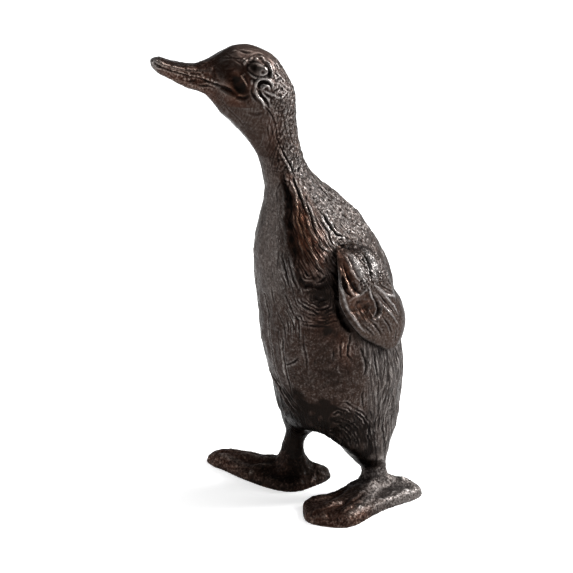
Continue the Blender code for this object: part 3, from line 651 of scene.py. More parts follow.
def carve_body(carving):
    angle, height = torso_terms(carving.points)
    for side in (1.0, -1.0):
        for half_width, depth, places in BODY_STROKES:
            carving.mark(carving.torso_line(places, side), half_width, depth if depth > 0 else 0.75 * depth)
        for (middle, level), radii, (first, last), depth in NESTED_ARCS:
            for radius in radii:
                ends = np.sort(CHANCE.uniform(first, last, 3))
                for start, stop in ((first, ends[0]), (ends[0] + 5.0, ends[2]), (ends[1], last)):
                    if stop - start < 10.0:
                        continue
                    places = []
                    for turn in np.radians(np.linspace(start, stop, 5)):
                        away = radius + 0.5 * CHANCE.standard_normal()
                        across = away * math.cos(turn) / ARC_MM_PER_DEGREE
                        places.append((middle + across, level - ARC_SQUASH * away * math.sin(turn)))
                    line = carving.torso_line(places, side)
                    carving.mark(line, 0.6, depth * CHANCE.uniform(0.4, 1.2), sway=0.8)
    half_width, depth, places = BELLY_SEAM
    carving.mark(carving.torso_line(places, 1.0), half_width, depth, blunt=True)
    for half_width, depth, places in BELLY_FOLDS:
        carving.mark(carving.torso_line(places, 1.0), half_width, depth)
    carving.taken |= (carving.cut > 0.3) | (carving.raised > 0.3)
    (middle, level), radii, _, _ = NESTED_ARCS[0]
    away = np.hypot((angle - middle) * ARC_MM_PER_DEGREE, (height - level) / ARC_SQUASH)
    carving.taken |= (away < radii[-1] + 1.0) & (height < level + 2.0) & (away > radii[0])
    body = height < BODY_TOP
    for seed, (angles, heights, tries, widths, depths, lengths, sway, spacing) in enumerate(BODY_FIELDS):
        inside = within(angle, height, (angles, heights), body)
        carving.comb(inside, wavy(torso_flow, sway, seed), tries, widths, depths, lengths, spacing)
    for angles, heights, count, widths, depths, spacing in BODY_PITS:
        carving.pits(within(angle, height, (angles, heights), body), count, widths, depths, spacing)


# The line of the mouth from the tip of the bill back, by forward reach and height
MOUTH = (
    (74.4, 248.2),
    (72.7, 247.1),
    (71.0, 245.8),
    (68.8, 244.6),
    (65.2, 243.2),
    (61.7, 242.0),
    (58.7, 241.1),
    (55.6, 240.0),
    (52.1, 239.4),
    (49.5, 238.6),
    (46.5, 237.7),
    (43.6, 237.2),
    (40.6, 236.5),
    (38.6, 235.8),
)
# Beads beside the mouth: reach, height, rise
BEADS = (
    (63.5, 243.3, 0.9),
    (55.1, 242.0, 0.7),
    (54.6, 240.7, 0.9),
    (52.6, 240.3, 0.8),
    (48.2, 241.4, 0.9),
    (47.9, 240.0, 1.0),
    (45.5, 239.1, 0.9),
    (43.5, 238.8, 0.8),
    (57.2, 238.9, 0.8),
    (55.1, 238.4, 0.9),
    (42.1, 237.6, 0.8),
    (59.5, 242.3, 0.5),
    (50.4, 240.0, 0.5),
    (66.8, 244.8, 0.5),
    (61.0, 240.4, 0.4),
)
# Strokes on each side of the head: half width, depth, then forward reach and height
HEAD_STROKES = (
    (1.4, 1.3, ((40, 236.3), (37, 234.6), (34, 233), (31, 231.2))),
    (0.6, 0.8, ((50.6, 235.4), (47.5, 235.2), (44.6, 235.3), (42, 234.6))),
    (0.9, 0.4, ((42.4, 245), (42.6, 242.4), (41.2, 239.4))),
    (0.6, -0.7, ((32.4, 252.8), (31.2, 253))),
    (0.7, 0.8, ((30, 253.4), (26.5, 252.8), (23, 252.6))),
    (0.6, 0.6, ((38, 249.5), (33, 250.2), (28, 249.6))),
    (0.6, 0.5, ((36, 251.6), (31, 249), (27.5, 246.6))),
    (0.7, -1.4, ((27.2, 247.2), (26.6, 248.4), (25.6, 249.4))),
    (0.6, -1.1, ((28, 249), (27, 250))),
    (0.7, -1.2, ((24.2, 249.2), (23.2, 250.2))),
    (0.7, -1.5, ((21.6, 248.8), (20.6, 249.9))),
    (0.7, -1.4, ((19.6, 250.3), (18.1, 249.8), (16.8, 248.4))),
    (0.6, 1.0, ((24.6, 248.6), (23, 248.8), (21.2, 248.8))),
    (0.6, 0.8, ((22.6, 251.4), (20, 251.6), (17.4, 250.8))),
    (0.9, 2.0, ((18.4, 248.3), (17, 247.6), (15.6, 246.2), (14.6, 244.1), (14.2, 241.6), (14.6, 240.4))),
    (0.7, -1.6, ((15.8, 248.2), (14, 245.8), (12.9, 243), (13, 240.6))),
    (0.7, -1.5, ((25.4, 243.6), (23, 241.6), (20.8, 240.7), (17.8, 240.9), (14.7, 239.9), (12.8, 238.7))),
    (0.7, -1.8, ((27.3, 242.6), (28.5, 241.3), (27.5, 239.3), (26.3, 236.8))),
    (0.6, -0.9, ((23.7, 239.6), (23.8, 237.8))),
    (
        0.8,
        -2.1,
        ((13, 235.2), (13, 237.1), (14.8, 238.9), (17.8, 240), (20.4, 239.4), (21.7, 237.4), (21.9, 234.7)),
    ),
    (0.8, -2.1, ((21.9, 235.4), (21.4, 233), (20.6, 231.5), (18.9, 229.4), (17.8, 227.2), (17, 225))),
    (0.7, 1.7, ((14, 235.8), (14.5, 237.2), (16.5, 238.2), (18.7, 238.2), (19.9, 236.8), (19.9, 234.6))),
    (0.7, 1.6, ((20, 235), (19, 231.8), (17, 229.3), (15.7, 227.5), (14.6, 225))),
    (0.6, -1.2, ((18.1, 234.6), (17.6, 236), (16.1, 236.5), (15, 235.8), (14.8, 234.6))),
    (0.6, -1.0, ((17.6, 234.1), (15.3, 233.1), (12.3, 231.6), (10.5, 230.1), (7.8, 230.2), (5, 232.2))),
    (0.6, 1.1, ((17.4, 232.4), (14.6, 231), (12.4, 229.2))),
    (0.6, 0.9, ((23.8, 236), (23.4, 232.4), (21, 229))),
    (0.6, 0.9, ((11.4, 242.7), (10, 241), (9.3, 239.7))),
    (0.6, 0.9, ((10.8, 238), (8.4, 239.5), (7.1, 237.4))),
    (0.6, 0.8, ((11.4, 245.4), (10.2, 245.2), (9.4, 243.8))),
    (0.6, 0.8, ((9.4, 235.6), (7.6, 233.8), (9.8, 232.8))),
    (0.6, 0.8, ((12.2, 233.4), (9.6, 234.6))),
    (0.9, 0.9, ((33, 232.4), (31, 230.6), (27.6, 230.1), (25, 231.4))),
    (1.1, 0.5, ((25, 222.4), (22, 221.6), (18.5, 222.2))),
    (0.6, 0.7, ((18.6, 227.5), (13.3, 221), (11, 214), (10, 207.5), (7.5, 201.5))),
    (0.6, 1.3, ((9.6, 206), (6.5, 199), (3.6, 194), (2.1, 190.3), (0.8, 187.9))),
    (0.6, -1.0, ((10.8, 204), (7.6, 198.6), (4.9, 193.8), (3.8, 191.2), (2.8, 189.3))),
    (0.6, 0.22, ((43, 232.5), (36, 224), (29.6, 218), (25.5, 210))),
)
# The hollow of the cheek: middle (reach, height), half height, depth
CHEEK_HOLLOW = ((30.5, 236.6), 6.6, 2.2)
# The eye: middle, half length and half height, fall towards the back of the head in degrees, rise
EYE = ((20.1, 244.5), (5.6, 3.2), 20.0, 1.5)
# Middle of the small pit that stands for the pupil: reach, height
PUPIL = (18.2, 243.4)


def eye_distance(reach, height):
    """Distance from the middle of the eye, 1 on its rim."""
    (middle, level), (long, tall), fall, _ = EYE
    turn = math.radians(fall)
    along = (reach - middle) * math.cos(turn) + (height - level) * math.sin(turn)
    across = (height - level) * math.cos(turn) - (reach - middle) * math.sin(turn)
    return np.hypot(along / long, across / tall)


def head_flow(place):
    """Which way a stroke runs on the head and neck."""
    reach, _, height = head_terms(np.array(place))
    forward = Vector(HEAD_FORWARD)
    if reach > 24.0 and height < 226.0:
        return -forward * 0.7 + Vector((0.0, 0.0, -0.75))
    if height > 232.0:
        return -forward * 0.8 + Vector((0.0, 0.0, 0.1 if reach > 20.0 else -0.9))
    return -forward * 0.3 + Vector((0.0, 0.0, -1.0))


# Regions of generated strokes and of small pits on the head and neck, as on the body, by reach and height
HEAD_FIELDS = (
    ((-4.0, 17.0), (196.0, 227.0), 300, (0.5, 0.65), (0.15, 0.4), (10.0, 28.0), (20.0, 0.15), 1.9),
    ((14.0, 46.0), (196.0, 232.0), 60, (0.5, 0.6), (0.04, 0.1), (8.0, 22.0), (20.0, 0.15), 4.0),
    ((24.0, 38.0), (229.0, 247.0), 60, (0.5, 0.6), (0.08, 0.2), (3.0, 7.0), (7.0, 0.3), 2.4),
    ((14.0, 46.0), (246.0, 258.0), 120, (0.5, 0.6), (0.08, 0.22), (4.0, 12.0), (10.0, 0.2), 2.2),
    ((-4.0, 13.5), (228.0, 252.0), 120, (0.5, 0.7), (0.2, 0.5), (1.5, 4.0), (5.0, 0.8), 2.2),
)
HEAD_PITS = (
    ((-6.0, 14.0), (220.0, 254.0), 700, (0.5, 0.8), (0.2, 0.5), 1.2),
    ((-12.0, 8.0), (190.0, 226.0), 420, (0.5, 0.75), (0.12, 0.3), 1.3),
    ((14.0, 46.0), (196.0, 256.0), 400, (0.5, 0.6), (0.05, 0.14), 2.0),
    ((42.0, 76.0), (232.0, 250.0), 420, (0.5, 0.7), (0.08, 0.3), 1.2),
)


def carve_head(carving):
    reach, _, height = head_terms(carving.points)
    for side in (1.0, -1.0):
        for half_width, depth, places in HEAD_STROKES:
            carving.mark(carving.head_line(places, side), half_width, depth, sway=0.2)
        mouth = carving.head_line(MOUTH, side)
        carving.mark(mouth, 0.6, 1.2, blunt=True, sway=0.25)
        for bead_reach, bead_height, rise in BEADS:
            carving.mark(carving.head_line([(bead_reach, bead_height)], side), 0.6, -rise)
        for _ in range(30):
            place = mouth[int(CHANCE.uniform(0.08, 1.0) * (len(mouth) - 1))]
            place = place + Vector((0.0, 0.0, CHANCE.choice((-1.0, 1.0))))
            carving.mark([place], 0.5, -CHANCE.uniform(0.2, 0.5))
    head = carving.points[:, 2] > 192.0
    carving.taken |= ((carving.cut > 0.25) | (carving.raised > 0.25)) & head
    carving.taken |= (eye_distance(reach, height) < 1.3) & head
    for seed, (reaches, heights, tries, widths, depths, lengths, sway, spacing) in enumerate(HEAD_FIELDS):
        inside = within(reach, height, (reaches, heights), head)
        carving.comb(inside, wavy(head_flow, sway, 30 + seed), tries, widths, depths, lengths, spacing)
    for reaches, heights, count, widths, depths, spacing in HEAD_PITS:
        carving.pits(within(reach, height, (reaches, heights), head), count, widths, depths, spacing)


# Strokes on the feet: half width, depth, then left and back distances
FOOT_STROKES = (
    (2.6, -1.6, ((26.5, 16), (29.6, 9.5), (34.5, 2), (40, -6), (45, -14.5), (48, -22))),
    (1.8, -0.4, ((24, 2), (25, -8), (25, -20), (22, -29))),
    (1.5, -0.5, ((27, 2), (31, -9), (34, -20), (34.5, -28))),
    (2.2, -1.1, ((29, 17), (34, 22), (39, 26))),
    (1.5, -1.5, ((28, 26.5), (27.6, 27.5))),
    (1.2, 0.7, ((26, -2), (27.5, -12), (28, -22), (27, -31))),
    (1.2, 0.7, ((30.5, 3), (36, -7), (39.5, -16), (41, -24))),
    (0.7, 0.5, ((33, -8), (36, -17), (37.6, -23))),
    (2.0, -0.9, ((-22, -27), (-34, -36), (-48, -42), (-58, -45))),
    (1.6, -0.7, ((-24, -24), (-38, -30), (-52, -36))),
    (1.2, 0.6, ((-26, -29), (-40, -36.5), (-54, -41))),
    (0.8, 0.5, ((-25, -35), (-38, -42), (-50, -46))),
    (1.3, -1.0, ((-28, -38.5), (-29, -39.5))),
    (1.8, -0.8, ((-14, -16), (-10, -8), (-8, -1))),
)


def carve_feet(carving):
    for half_width, depth, places in FOOT_STROKES:
        carving.mark(carving.foot_line(places, 1.0), half_width, depth)
    carving.taken |= ((carving.cut > 0.25) | (carving.raised > 0.25)) & (carving.points[:, 2] < 30.0)
    low = (carving.points[:, 2] > 1.5) & (carving.points[:, 2] < 24.0)
    carving.pits(low, 900, (0.5, 0.9), (0.08, 0.28), 1.5)


# Small shifts that bring the skin to the photo's outline: middle, radius, move (mm)
SHIFTS = (
    ((10.0, -16.0, 38.0), 12.0, (0.0, 1.0, 2.6)),
    ((18.0, -10.0, 34.0), 9.0, (1.4, 1.6, 1.2)),
    ((20.0, 2.0, 20.0), 9.0, (1.2, 0.8, 0.0)),
    ((-24.0, -22.0, 16.0), 9.0, (-0.8, -1.6, 0.6)),
    ((26.0, 18.0, 16.0), 10.0, (0.4, 1.6, 0.0)),
    ((-64.0, -46.0, 4.0), 10.0, (-1.5, -1.3, 0.5)),
    ((19.0, -14.0, 10.0), 13.0, (0.8, 0.0, -2.2)),
)


def fuller(points, normals):
    """How much further out the castings' skin stands at the bill, crown and breast than the plain solids."""
    reach, _, height = head_terms(points)
    angle, level = torso_terms(points)
    on_bill = smooth_step(38.0, 48.0, reach) * smooth_step(228.0, 234.0, height) * np.abs(normals[:, 2])
    on_jaw = np.exp(-(((reach - 42.0) / 7.0) ** 2 + ((height - 235.0) / 5.0) ** 2))
    on_jaw *= np.clip(-normals[:, 2], 0, 1)
    on_crown = smooth_step(242.0, 250.0, height) * smooth_step(36.0, 24.0, reach)
    on_breast = np.exp(-(((angle + 90.0) / 40.0) ** 2 + ((level - 148.0) / 18.0) ** 2)) * (height < 196.0)
    on_tip = smooth_step(64.0, 72.0, reach) * (height > 228.0)
    return on_bill + 0.7 * on_jaw + 0.6 * on_crown + 0.9 * on_breast + 0.7 * on_tip


# How the openness is felt out: one point in so many, rays from each, their reach, and the turn between them
OPENNESS_SAMPLE = 45
OPENNESS_RAYS = 16
OPENNESS_REACH = 70.0
GOLDEN_TURN = 2.4
# Depth below the softened surface that counts as a full hollow, and height above it that is rubbed bright
FULL_HOLLOW = 0.16
FULLY_WORN = 0.27


def openness(points, normals, surface):
    """How much of the air above each point is free, from 0 to 1, felt out from a sample of the points."""
    chosen = np.arange(0, len(points), OPENNESS_SAMPLE)
    levels = (np.arange(OPENNESS_RAYS) + 0.5) / OPENNESS_RAYS * 1.15 - 0.15
    turns = GOLDEN_TURN * np.arange(OPENNESS_RAYS)
    across = np.sqrt(1.0 - levels**2)
    rays = np.column_stack([across * np.cos(turns), across * np.sin(turns), levels])
    tree = KDTree(len(chosen))
    seen = []
    for k, i in enumerate(chosen):
        tree.insert(points[i], k)
        start = Vector(points[i] + normals[i] * 1.5)
        total = 0.0
        free = 0.0
        for ray, weight in zip(rays, rays @ normals[i]):
            if weight > 0.05:
                total += weight
                if surface.ray_cast(start, Vector(ray), OPENNESS_REACH)[0] is None:
                    free += weight
        seen.append(free / max(total, 0.8))
    tree.balance()
    seen = np.array(seen)
    found = np.empty(len(points))
    for i, point in enumerate(points):
        near = tree.find_n(point, 5)
        weights = np.array([1.0 / (item[2] + 0.3) for item in near])
        found[i] = (seen[[item[1] for item in near]] * weights).sum() / weights.sum()
    return np.clip(found, 0.0, 1.0)


def finish_terms(points, faces, edges, brown, occluder):
    """What the patina and its painted light need at each point: hollows (painted dark), worn ridges, openness
    (painted shade where it is low) and brown patches.
    """
    normals = normals_of(points, faces)
    smooth = soften(points, edges, np.full(len(points), 0.5), 7)
    stands = ((points - smooth) * normals).sum(1)
    return {
        "hollow": np.clip(-stands / FULL_HOLLOW, 0.0, 1.0),
        "worn_and_painted_highlight": np.clip(stands / FULLY_WORN, 0.0, 1.0) ** 1.3,
        "unshaded": openness(points, normals, occluder),
        "brown": brown,
    }


# Parts of the duckling in three zones. A zone has its lowest and highest level, and each part has soft steps
# from nothing to whole, in angle or height for the body and in reach or height for the neck and head
ZONES = (
    (
        (-1.0, BODY_TOP),
        {
            "shoulder": (("angle", -14.0, -2.0), ("height", 142.0, 150.0)),
            "flank": (("angle", -6.0, 4.0), ("height", 122.0, 112.0)),
            "upper_back": (("angle", 34.0, 44.0), ("height", 104.0, 112.0), ("height", 186.0, 172.0)),
            "breast": (
                ("angle", -44.0, -52.0),
                ("angle", -74.0, -62.0),
                ("height", 92.0, 104.0),
                ("height", 152.0, 138.0),
            ),
            "breast_side": (("angle", -58.0, -70.0), ("height", 116.0, 130.0)),
            "lower_belly": (("height", 66.0, 54.0), ("angle", -4.0, -14.0)),
            "low": (("height", 26.0, 18.0),),
        },
    ),
    (
        (NECK_FROM, math.inf),
        {
            "neck": (("reach", 8.0, 14.0), ("height", 236.0, 226.0)),
            "nape": (("reach", 14.0, 8.0),),
            "nape_lines": (("reach", 17.0, 10.0), ("height", 236.0, 226.0)),
        },
    ),
    (
        (HEAD_FROM, math.inf),
        {
            "bill": (("reach", 38.0, 46.0), ("reach", 74.0, 68.0)),
            "crown": (("height", 245.0, 251.0), ("reach", 38.0, 30.0)),
        },
    ),
)
# Soft patches of colour, painted shade and painted highlight: strength, middle, and spread both ways in mm.
# The middle is given by angle and height on the torso, and by reach and height on the head
TORSO_PATCHES = {
    "chest_brown": (1.0, (-40, 161), (10.2, 24.0)),
    "under_wing_brown": (0.55, (-19, 95), (4.0, 9.0)),
    "flank_brown": (0.6, (-30, 112), (9.0, 9.0)),
    "thigh_brown": (0.3, (-40, 52), (12.0, 12.0)),
    # Painted shade at and below the nested arcs under the wing, and on the belly
    "arcs_painted_shade": (0.9, (-32, 130), (10.0, 10.0)),
    "below_arcs_painted_shade": (0.75, (-34, 112), (9.0, 13.0)),
    "belly_painted_shade": (0.5, (-25, 82), (16.0, 24.0)),
    "mid_belly_painted_shade": (0.25, (-45, 82), (14.0, 16.0)),
    # Painted highlight on the shoulder
    "shoulder_painted_highlight": (0.15, (10, 174), (11.0, 15.0)),
    "chest_lines": (1.1, (-34, 158), (14.4, 26.0)),
}
HEAD_PATCHES = {
    "cheek_brown": (1.0, (31, 236), (6.0, 9.0)),
    "neck_brown": (0.4, (11, 205), (4.0, 16.0)),
    # Painted shade beside the neck
    "neck_painted_shade": (0.7, (12, 202), (6.0, 14.0)),
    "temple": (1.0, (8, 238), (5.0, 9.0)),
    "pupil": (0.7, PUPIL, (0.7, 0.7)),
}
# Distance round the torso from the middle that turns degrees into mm at the chest hollow: levels, radii
CHEST_RADIUS = ((128.0, 140.0, 165.0, 180.0, 192.0), (35.0, 33.0, 24.0, 16.0, 12.0))
# Top of the painted shade on the underside, by angle
UNDERSIDE = ((-62.0, -46.0, -29.0, -15.0, 1.0, 10.0), (72.0, 67.5, 65.0, 59.0, 48.0, 39.0))
# How far the combed lines of the chest are slid back at each level, in mm
SLID_BACK = ((130.0, 140.0, 168.0, 185.0), (0.0, 3.0, 15.6, 20.0))


def regions(points):
    """The terms of every point's place, and how far it belongs to each part of the duckling."""
    at = SimpleNamespace()
    at.reach, at.left, at.height = head_terms(points)
    at.angle, _ = torso_terms(points)
    at.on_body = at.height < BODY_TOP
    at.on_head = at.height > HEAD_FROM
    for (lowest, highest), parts in ZONES:
        inside = (at.height >= lowest) & (at.height < highest)
        for name, steps in parts.items():
            share = inside.astype(float)
            for term, start, end in steps:
                share *= smooth_step(start, end, getattr(at, term))
            setattr(at, name, share)
    at.knobbly = np.clip(at.shoulder + at.nape + 0.9 * at.low + 0.4 * at.bill, 0.0, 1.0)
    return at


def patch(at, name):
    """A soft patch of the tables, at its full strength in its middle."""
    across, scale = (at.angle, MM_PER_DEGREE) if name in TORSO_PATCHES else (at.reach, 1.0)
    strength, (middle, level), (wide, tall) = (TORSO_PATCHES | HEAD_PATCHES)[name]
    return strength * np.exp(-(((across - middle) * scale / wide) ** 2 + ((at.height - level) / tall) ** 2))


def model_head(at, points, relief):
    """The strokes' relief with the eye set into its socket and the cheek hollowed, both noted in at."""
    from_eye = eye_distance(at.reach, at.height)
    ball = np.sqrt(np.clip(1.0 - from_eye**2, 0.0, 1.0)) * EYE[3] - patch(at, "pupil")
    socket = np.exp(-(((from_eye - 1.05) / 0.15) ** 2)) * (0.15 + 0.75 * smooth_step(22.0, 17.0, at.reach))
    (cheek_reach, cheek_height), cheek_radius, cheek_depth = CHEEK_HOLLOW
    slant = at.reach - cheek_reach - 0.35 * (at.height - cheek_height)
    into_cheek = (slant / 5.0) ** 2 + ((at.height - cheek_height) / cheek_radius) ** 2
    at.in_cheek = np.exp(-np.clip(into_cheek + 0.1 * waves(points, 9.0, 31), 0.0, None))
    side_on = smooth_step(5.0, 10.0, np.abs(at.left))
    at.inside_eye = (from_eye < 1.0) & at.on_head & (side_on > 0.3)
    shape = np.where(at.inside_eye, 0.0, relief)
    return shape + np.where(at.on_head, side_on * (ball - socket - cheek_depth * at.in_cheek), 0.0)


def chest_hollow(at, points):
    """Depth of the hollow between the breast and the shoulder, noted in at with its edge."""
    levels, *columns = CHEST_HOLLOW.T
    edge, depth, reach_back = (np.interp(at.height, levels, column) for column in columns)
    past_edge = (at.angle - edge) * np.radians(1.0) * np.interp(at.height, *CHEST_RADIUS)
    at.past_edge = past_edge + 0.3 * waves(points, 11.0, 33) + 0.12 * waves(points, 3.5, 34)
    at.edge_kept_dull = at.on_body * np.exp(-((at.past_edge / 2.2) ** 2)) * smooth_step(0.2, 0.8, depth)
    at.hollowed = depth * smooth_step(-1.6, 1.8, at.past_edge) * smooth_step(reach_back, 1.6, at.past_edge)
    at.hollowed *= at.on_body
    return at.hollowed


def cast_texture(at, points):
    """Knobs and combed furrows of the modelling, and the gentle unevenness of a sand casting."""
    patchy = np.clip(0.65 + 0.4 * waves(points, 8.0, 8), 0.1, 1.4)
    shape = (0.2 + 0.24 * at.shoulder) * at.knobbly * pebbles(points, at.knobbly > 0.02, 2.3) * patchy
    combed = at.flank + 0.7 * at.upper_back + 0.8 * at.breast + 0.4 * at.lower_belly
    combed = np.clip(combed, 0.0, 1.0) * smooth_step(32.0, 42.0, at.height)
    around = at.angle * MM_PER_DEGREE
    furrows = 0.65 * streaks(around, at.height, 4.2, 40.0, 21)
    furrows += 0.14 * streaks(around, at.height, 2.2, 12.0, 23)
    shape -= combed * furrows * np.clip(0.55 + 0.5 * waves(points, 16.0, 9), 0.0, 1.3)
    down_the_neck = streaks(at.reach + 0.3 * at.height, at.height, 2.4, 14.0, 22)
    shape -= (0.07 * at.neck + 0.3 * at.nape_lines) * down_the_neck
    grained = 0.25 + 0.15 * at.on_body + 0.5 * at.knobbly
    shape += grained * (0.04 * at.knobbly * waves(points, 2.6, 4, 30) + 0.10 * waves(points, 4.0, 5, 30))
    return shape + 0.12 * waves(points, 8.0, 3) + 0.2 * waves(points, 18.0, 6)


def painted_shade_amount(at, points, normals, foot_top):
    """Painted shade, from 0 to 1: how dark each point is painted where shade falls, in the chest hollow, at
    and below the arcs under the wing, on the belly and its underside, in the cheek hollow, beside the neck,
    on the front and inner faces of the legs, at the front of the eye under the brow and on the far foot.
    """
    left, _, height = points.T
    inward = smooth_step(0.4, -0.4, normals[:, 1]) + smooth_step(0.5, -0.2, normals[:, 0] * np.sign(left))
    legs = smooth_step(64.0, 50.0, height) * smooth_step(14.0, 22.0, height)
    below = at.height - np.interp(at.angle, *UNDERSIDE) + 2.0 * waves(points, 9.0, 39)
    found = 0.9 * np.clip(at.hollowed / 1.6, 0.0, 1.0) * smooth_step(5.0, 1.5, at.past_edge)
    for name in ("arcs_painted_shade", "below_arcs_painted_shade", "belly_painted_shade"):
        found += patch(at, name) * at.on_body
    found += 0.95 * smooth_step(3.0, -8.0, below) * smooth_step(14.0, 0.0, at.angle)
    found += 1.25 * at.in_cheek * at.on_head + patch(at, "neck_painted_shade")
    found += 1.3 * legs * np.clip(inward, 0.0, 1.0)
    found += 0.9 * at.inside_eye * smooth_step(18.5, 22.5, at.reach)
    found = np.clip(found, 0.0, 1.0) * np.clip(0.93 + 0.15 * waves(points, 6.0, 35), 0.3, 1.2)
    found *= 1.0 - 0.75 * foot_top
    found += 0.45 * foot_top * smooth_step(2.0, -8.0, left) * smooth_step(60.0, 20.0, -left)
    return np.clip(found + patch(at, "mid_belly_painted_shade") * at.on_body, 0.0, 1.0)


def figure_patina_and_painted_light(at, points, faces, edges, normals, raised):
    """What the patina needs at each point of the body and head, with the painted shade and painted
    highlights.
    """
    foot_top = smooth_step(22.0, 15.0, points[:, 2])
    ridge = np.clip(raised / 1.2, 0.0, 1.0)
    temple = patch(at, "temple") * at.on_head

    brown = patch(at, "chest_brown") * at.on_body * smooth_step(-1.5, 1.5, at.past_edge)
    brown += patch(at, "cheek_brown") * at.on_head
    for name in ("flank_brown", "under_wing_brown", "thigh_brown", "neck_brown"):
        brown += patch(at, name)
    terms = finish_terms(points, faces, edges, np.clip(brown, 0.0, 1.0), surface_with_wings(points, faces))
    # Painted shade where shade falls, laid on by lowering the openness below
    painted_shade = painted_shade_amount(at, points, normals, foot_top)
    foot_brown = 0.5 * foot_top * (1.0 - ridge) * smooth_step(0.0, -14.0, points[:, 1])
    terms["brown"] += 0.15 * painted_shade + foot_brown + 0.45 * at.bill + 0.3 * at.crown
    terms["brown"] = np.clip(terms["brown"], 0.0, 1.0)
    terms["unshaded"] = np.maximum(terms["unshaded"], 0.72 * foot_top)
    # The painted shade darkens the colour through the lowered openness
    terms["unshaded"] *= np.clip(1.0 - 0.75 * painted_shade * (1.0 - 0.6 * terms["worn_and_painted_highlight"]), 0.0, 1.0)
    terms["hollow"] *= 1.0 - 0.6 * foot_top

    hind_toe = foot_top * smooth_step(2.0, 24.0, points[:, 1])
    # Rubbed ridges are wear; the shares on the temple, hind toe, crown, shoulder, flank and breast side and
    # the shoulder patch are painted highlights
    wear_and_painted_highlight = (0.45 - 0.2 * at.on_head) * ridge + 0.05 * temple + 0.16 * hind_toe + 0.14 * at.crown
    wear_and_painted_highlight += 0.04 * at.shoulder + patch(at, "shoulder_painted_highlight") * at.on_body
    wear_and_painted_highlight += 0.14 * at.flank + 0.14 * at.breast_side
    terms["worn_and_painted_highlight"] = np.clip(terms["worn_and_painted_highlight"] * (1.0 - 0.8 * at.edge_kept_dull) + wear_and_painted_highlight, 0.0, 1.0)
    terms["grainy"] = np.clip(0.25 + 0.35 * at.on_body + at.knobbly - 0.95 * at.shoulder, 0.0, 1.0)
    terms["matt"] = np.clip(foot_top + temple + at.crown + 0.4 * at.on_head * ridge, 0.0, 1.0)

    body_lines = patch(at, "chest_lines") + 0.5 * at.flank + 0.4 * smooth_step(-10.0, 10.0, at.angle)
    body_lines += 0.3 * at.breast + 0.4 * at.lower_belly + 0.12
    body_lines *= smooth_step(24.0, 34.0, points[:, 2])
    head_lines = 0.05 * at.neck + 0.3 * at.nape_lines
    terms["lines"] = np.clip(np.where(at.on_body, body_lines, head_lines), 0.0, 1.0)
    around = at.angle * MM_PER_DEGREE + np.interp(at.height, *SLID_BACK)
    terms["across"] = np.where(at.on_body, around, at.reach + 0.3 * at.height)
    terms["along"] = at.height
    return terms


def surface_with_wings(points, faces):
    """The figure's surface together with the castings of the wings, for what shades it."""
    every = points.tolist()
    polygons = list(faces)
    for name in ("left_wing", "right_wing"):
        wing_points, wing_faces = node_points(name)
        polygons.extend(tuple(i + len(every) for i in face) for face in wing_faces)
        every.extend(wing_points.tolist())
    return BVHTree.FromPolygons(every, polygons)


def shaped_figure():
    """The carved surface of body and head, and what its patina needs."""
    points, faces, edges = figure_base()
    normals = normals_of(points, faces)
    carving = Carving(points, faces)
    carve_body(carving)
    carve_head(carving)
    carve_feet(carving)

    at = regions(points)
    shape = model_head(at, points, carving.relief()) - chest_hollow(at, points) + cast_texture(at, points)
    sole = smooth_step(0.2, 1.2, points[:, 2])
    points = points + normals * (shape * sole)[:, None]
    points[:, 2] = np.maximum(points[:, 2], 0.0)
    return points, faces, figure_patina_and_painted_light(at, points, faces, edges, normals, carving.raised)


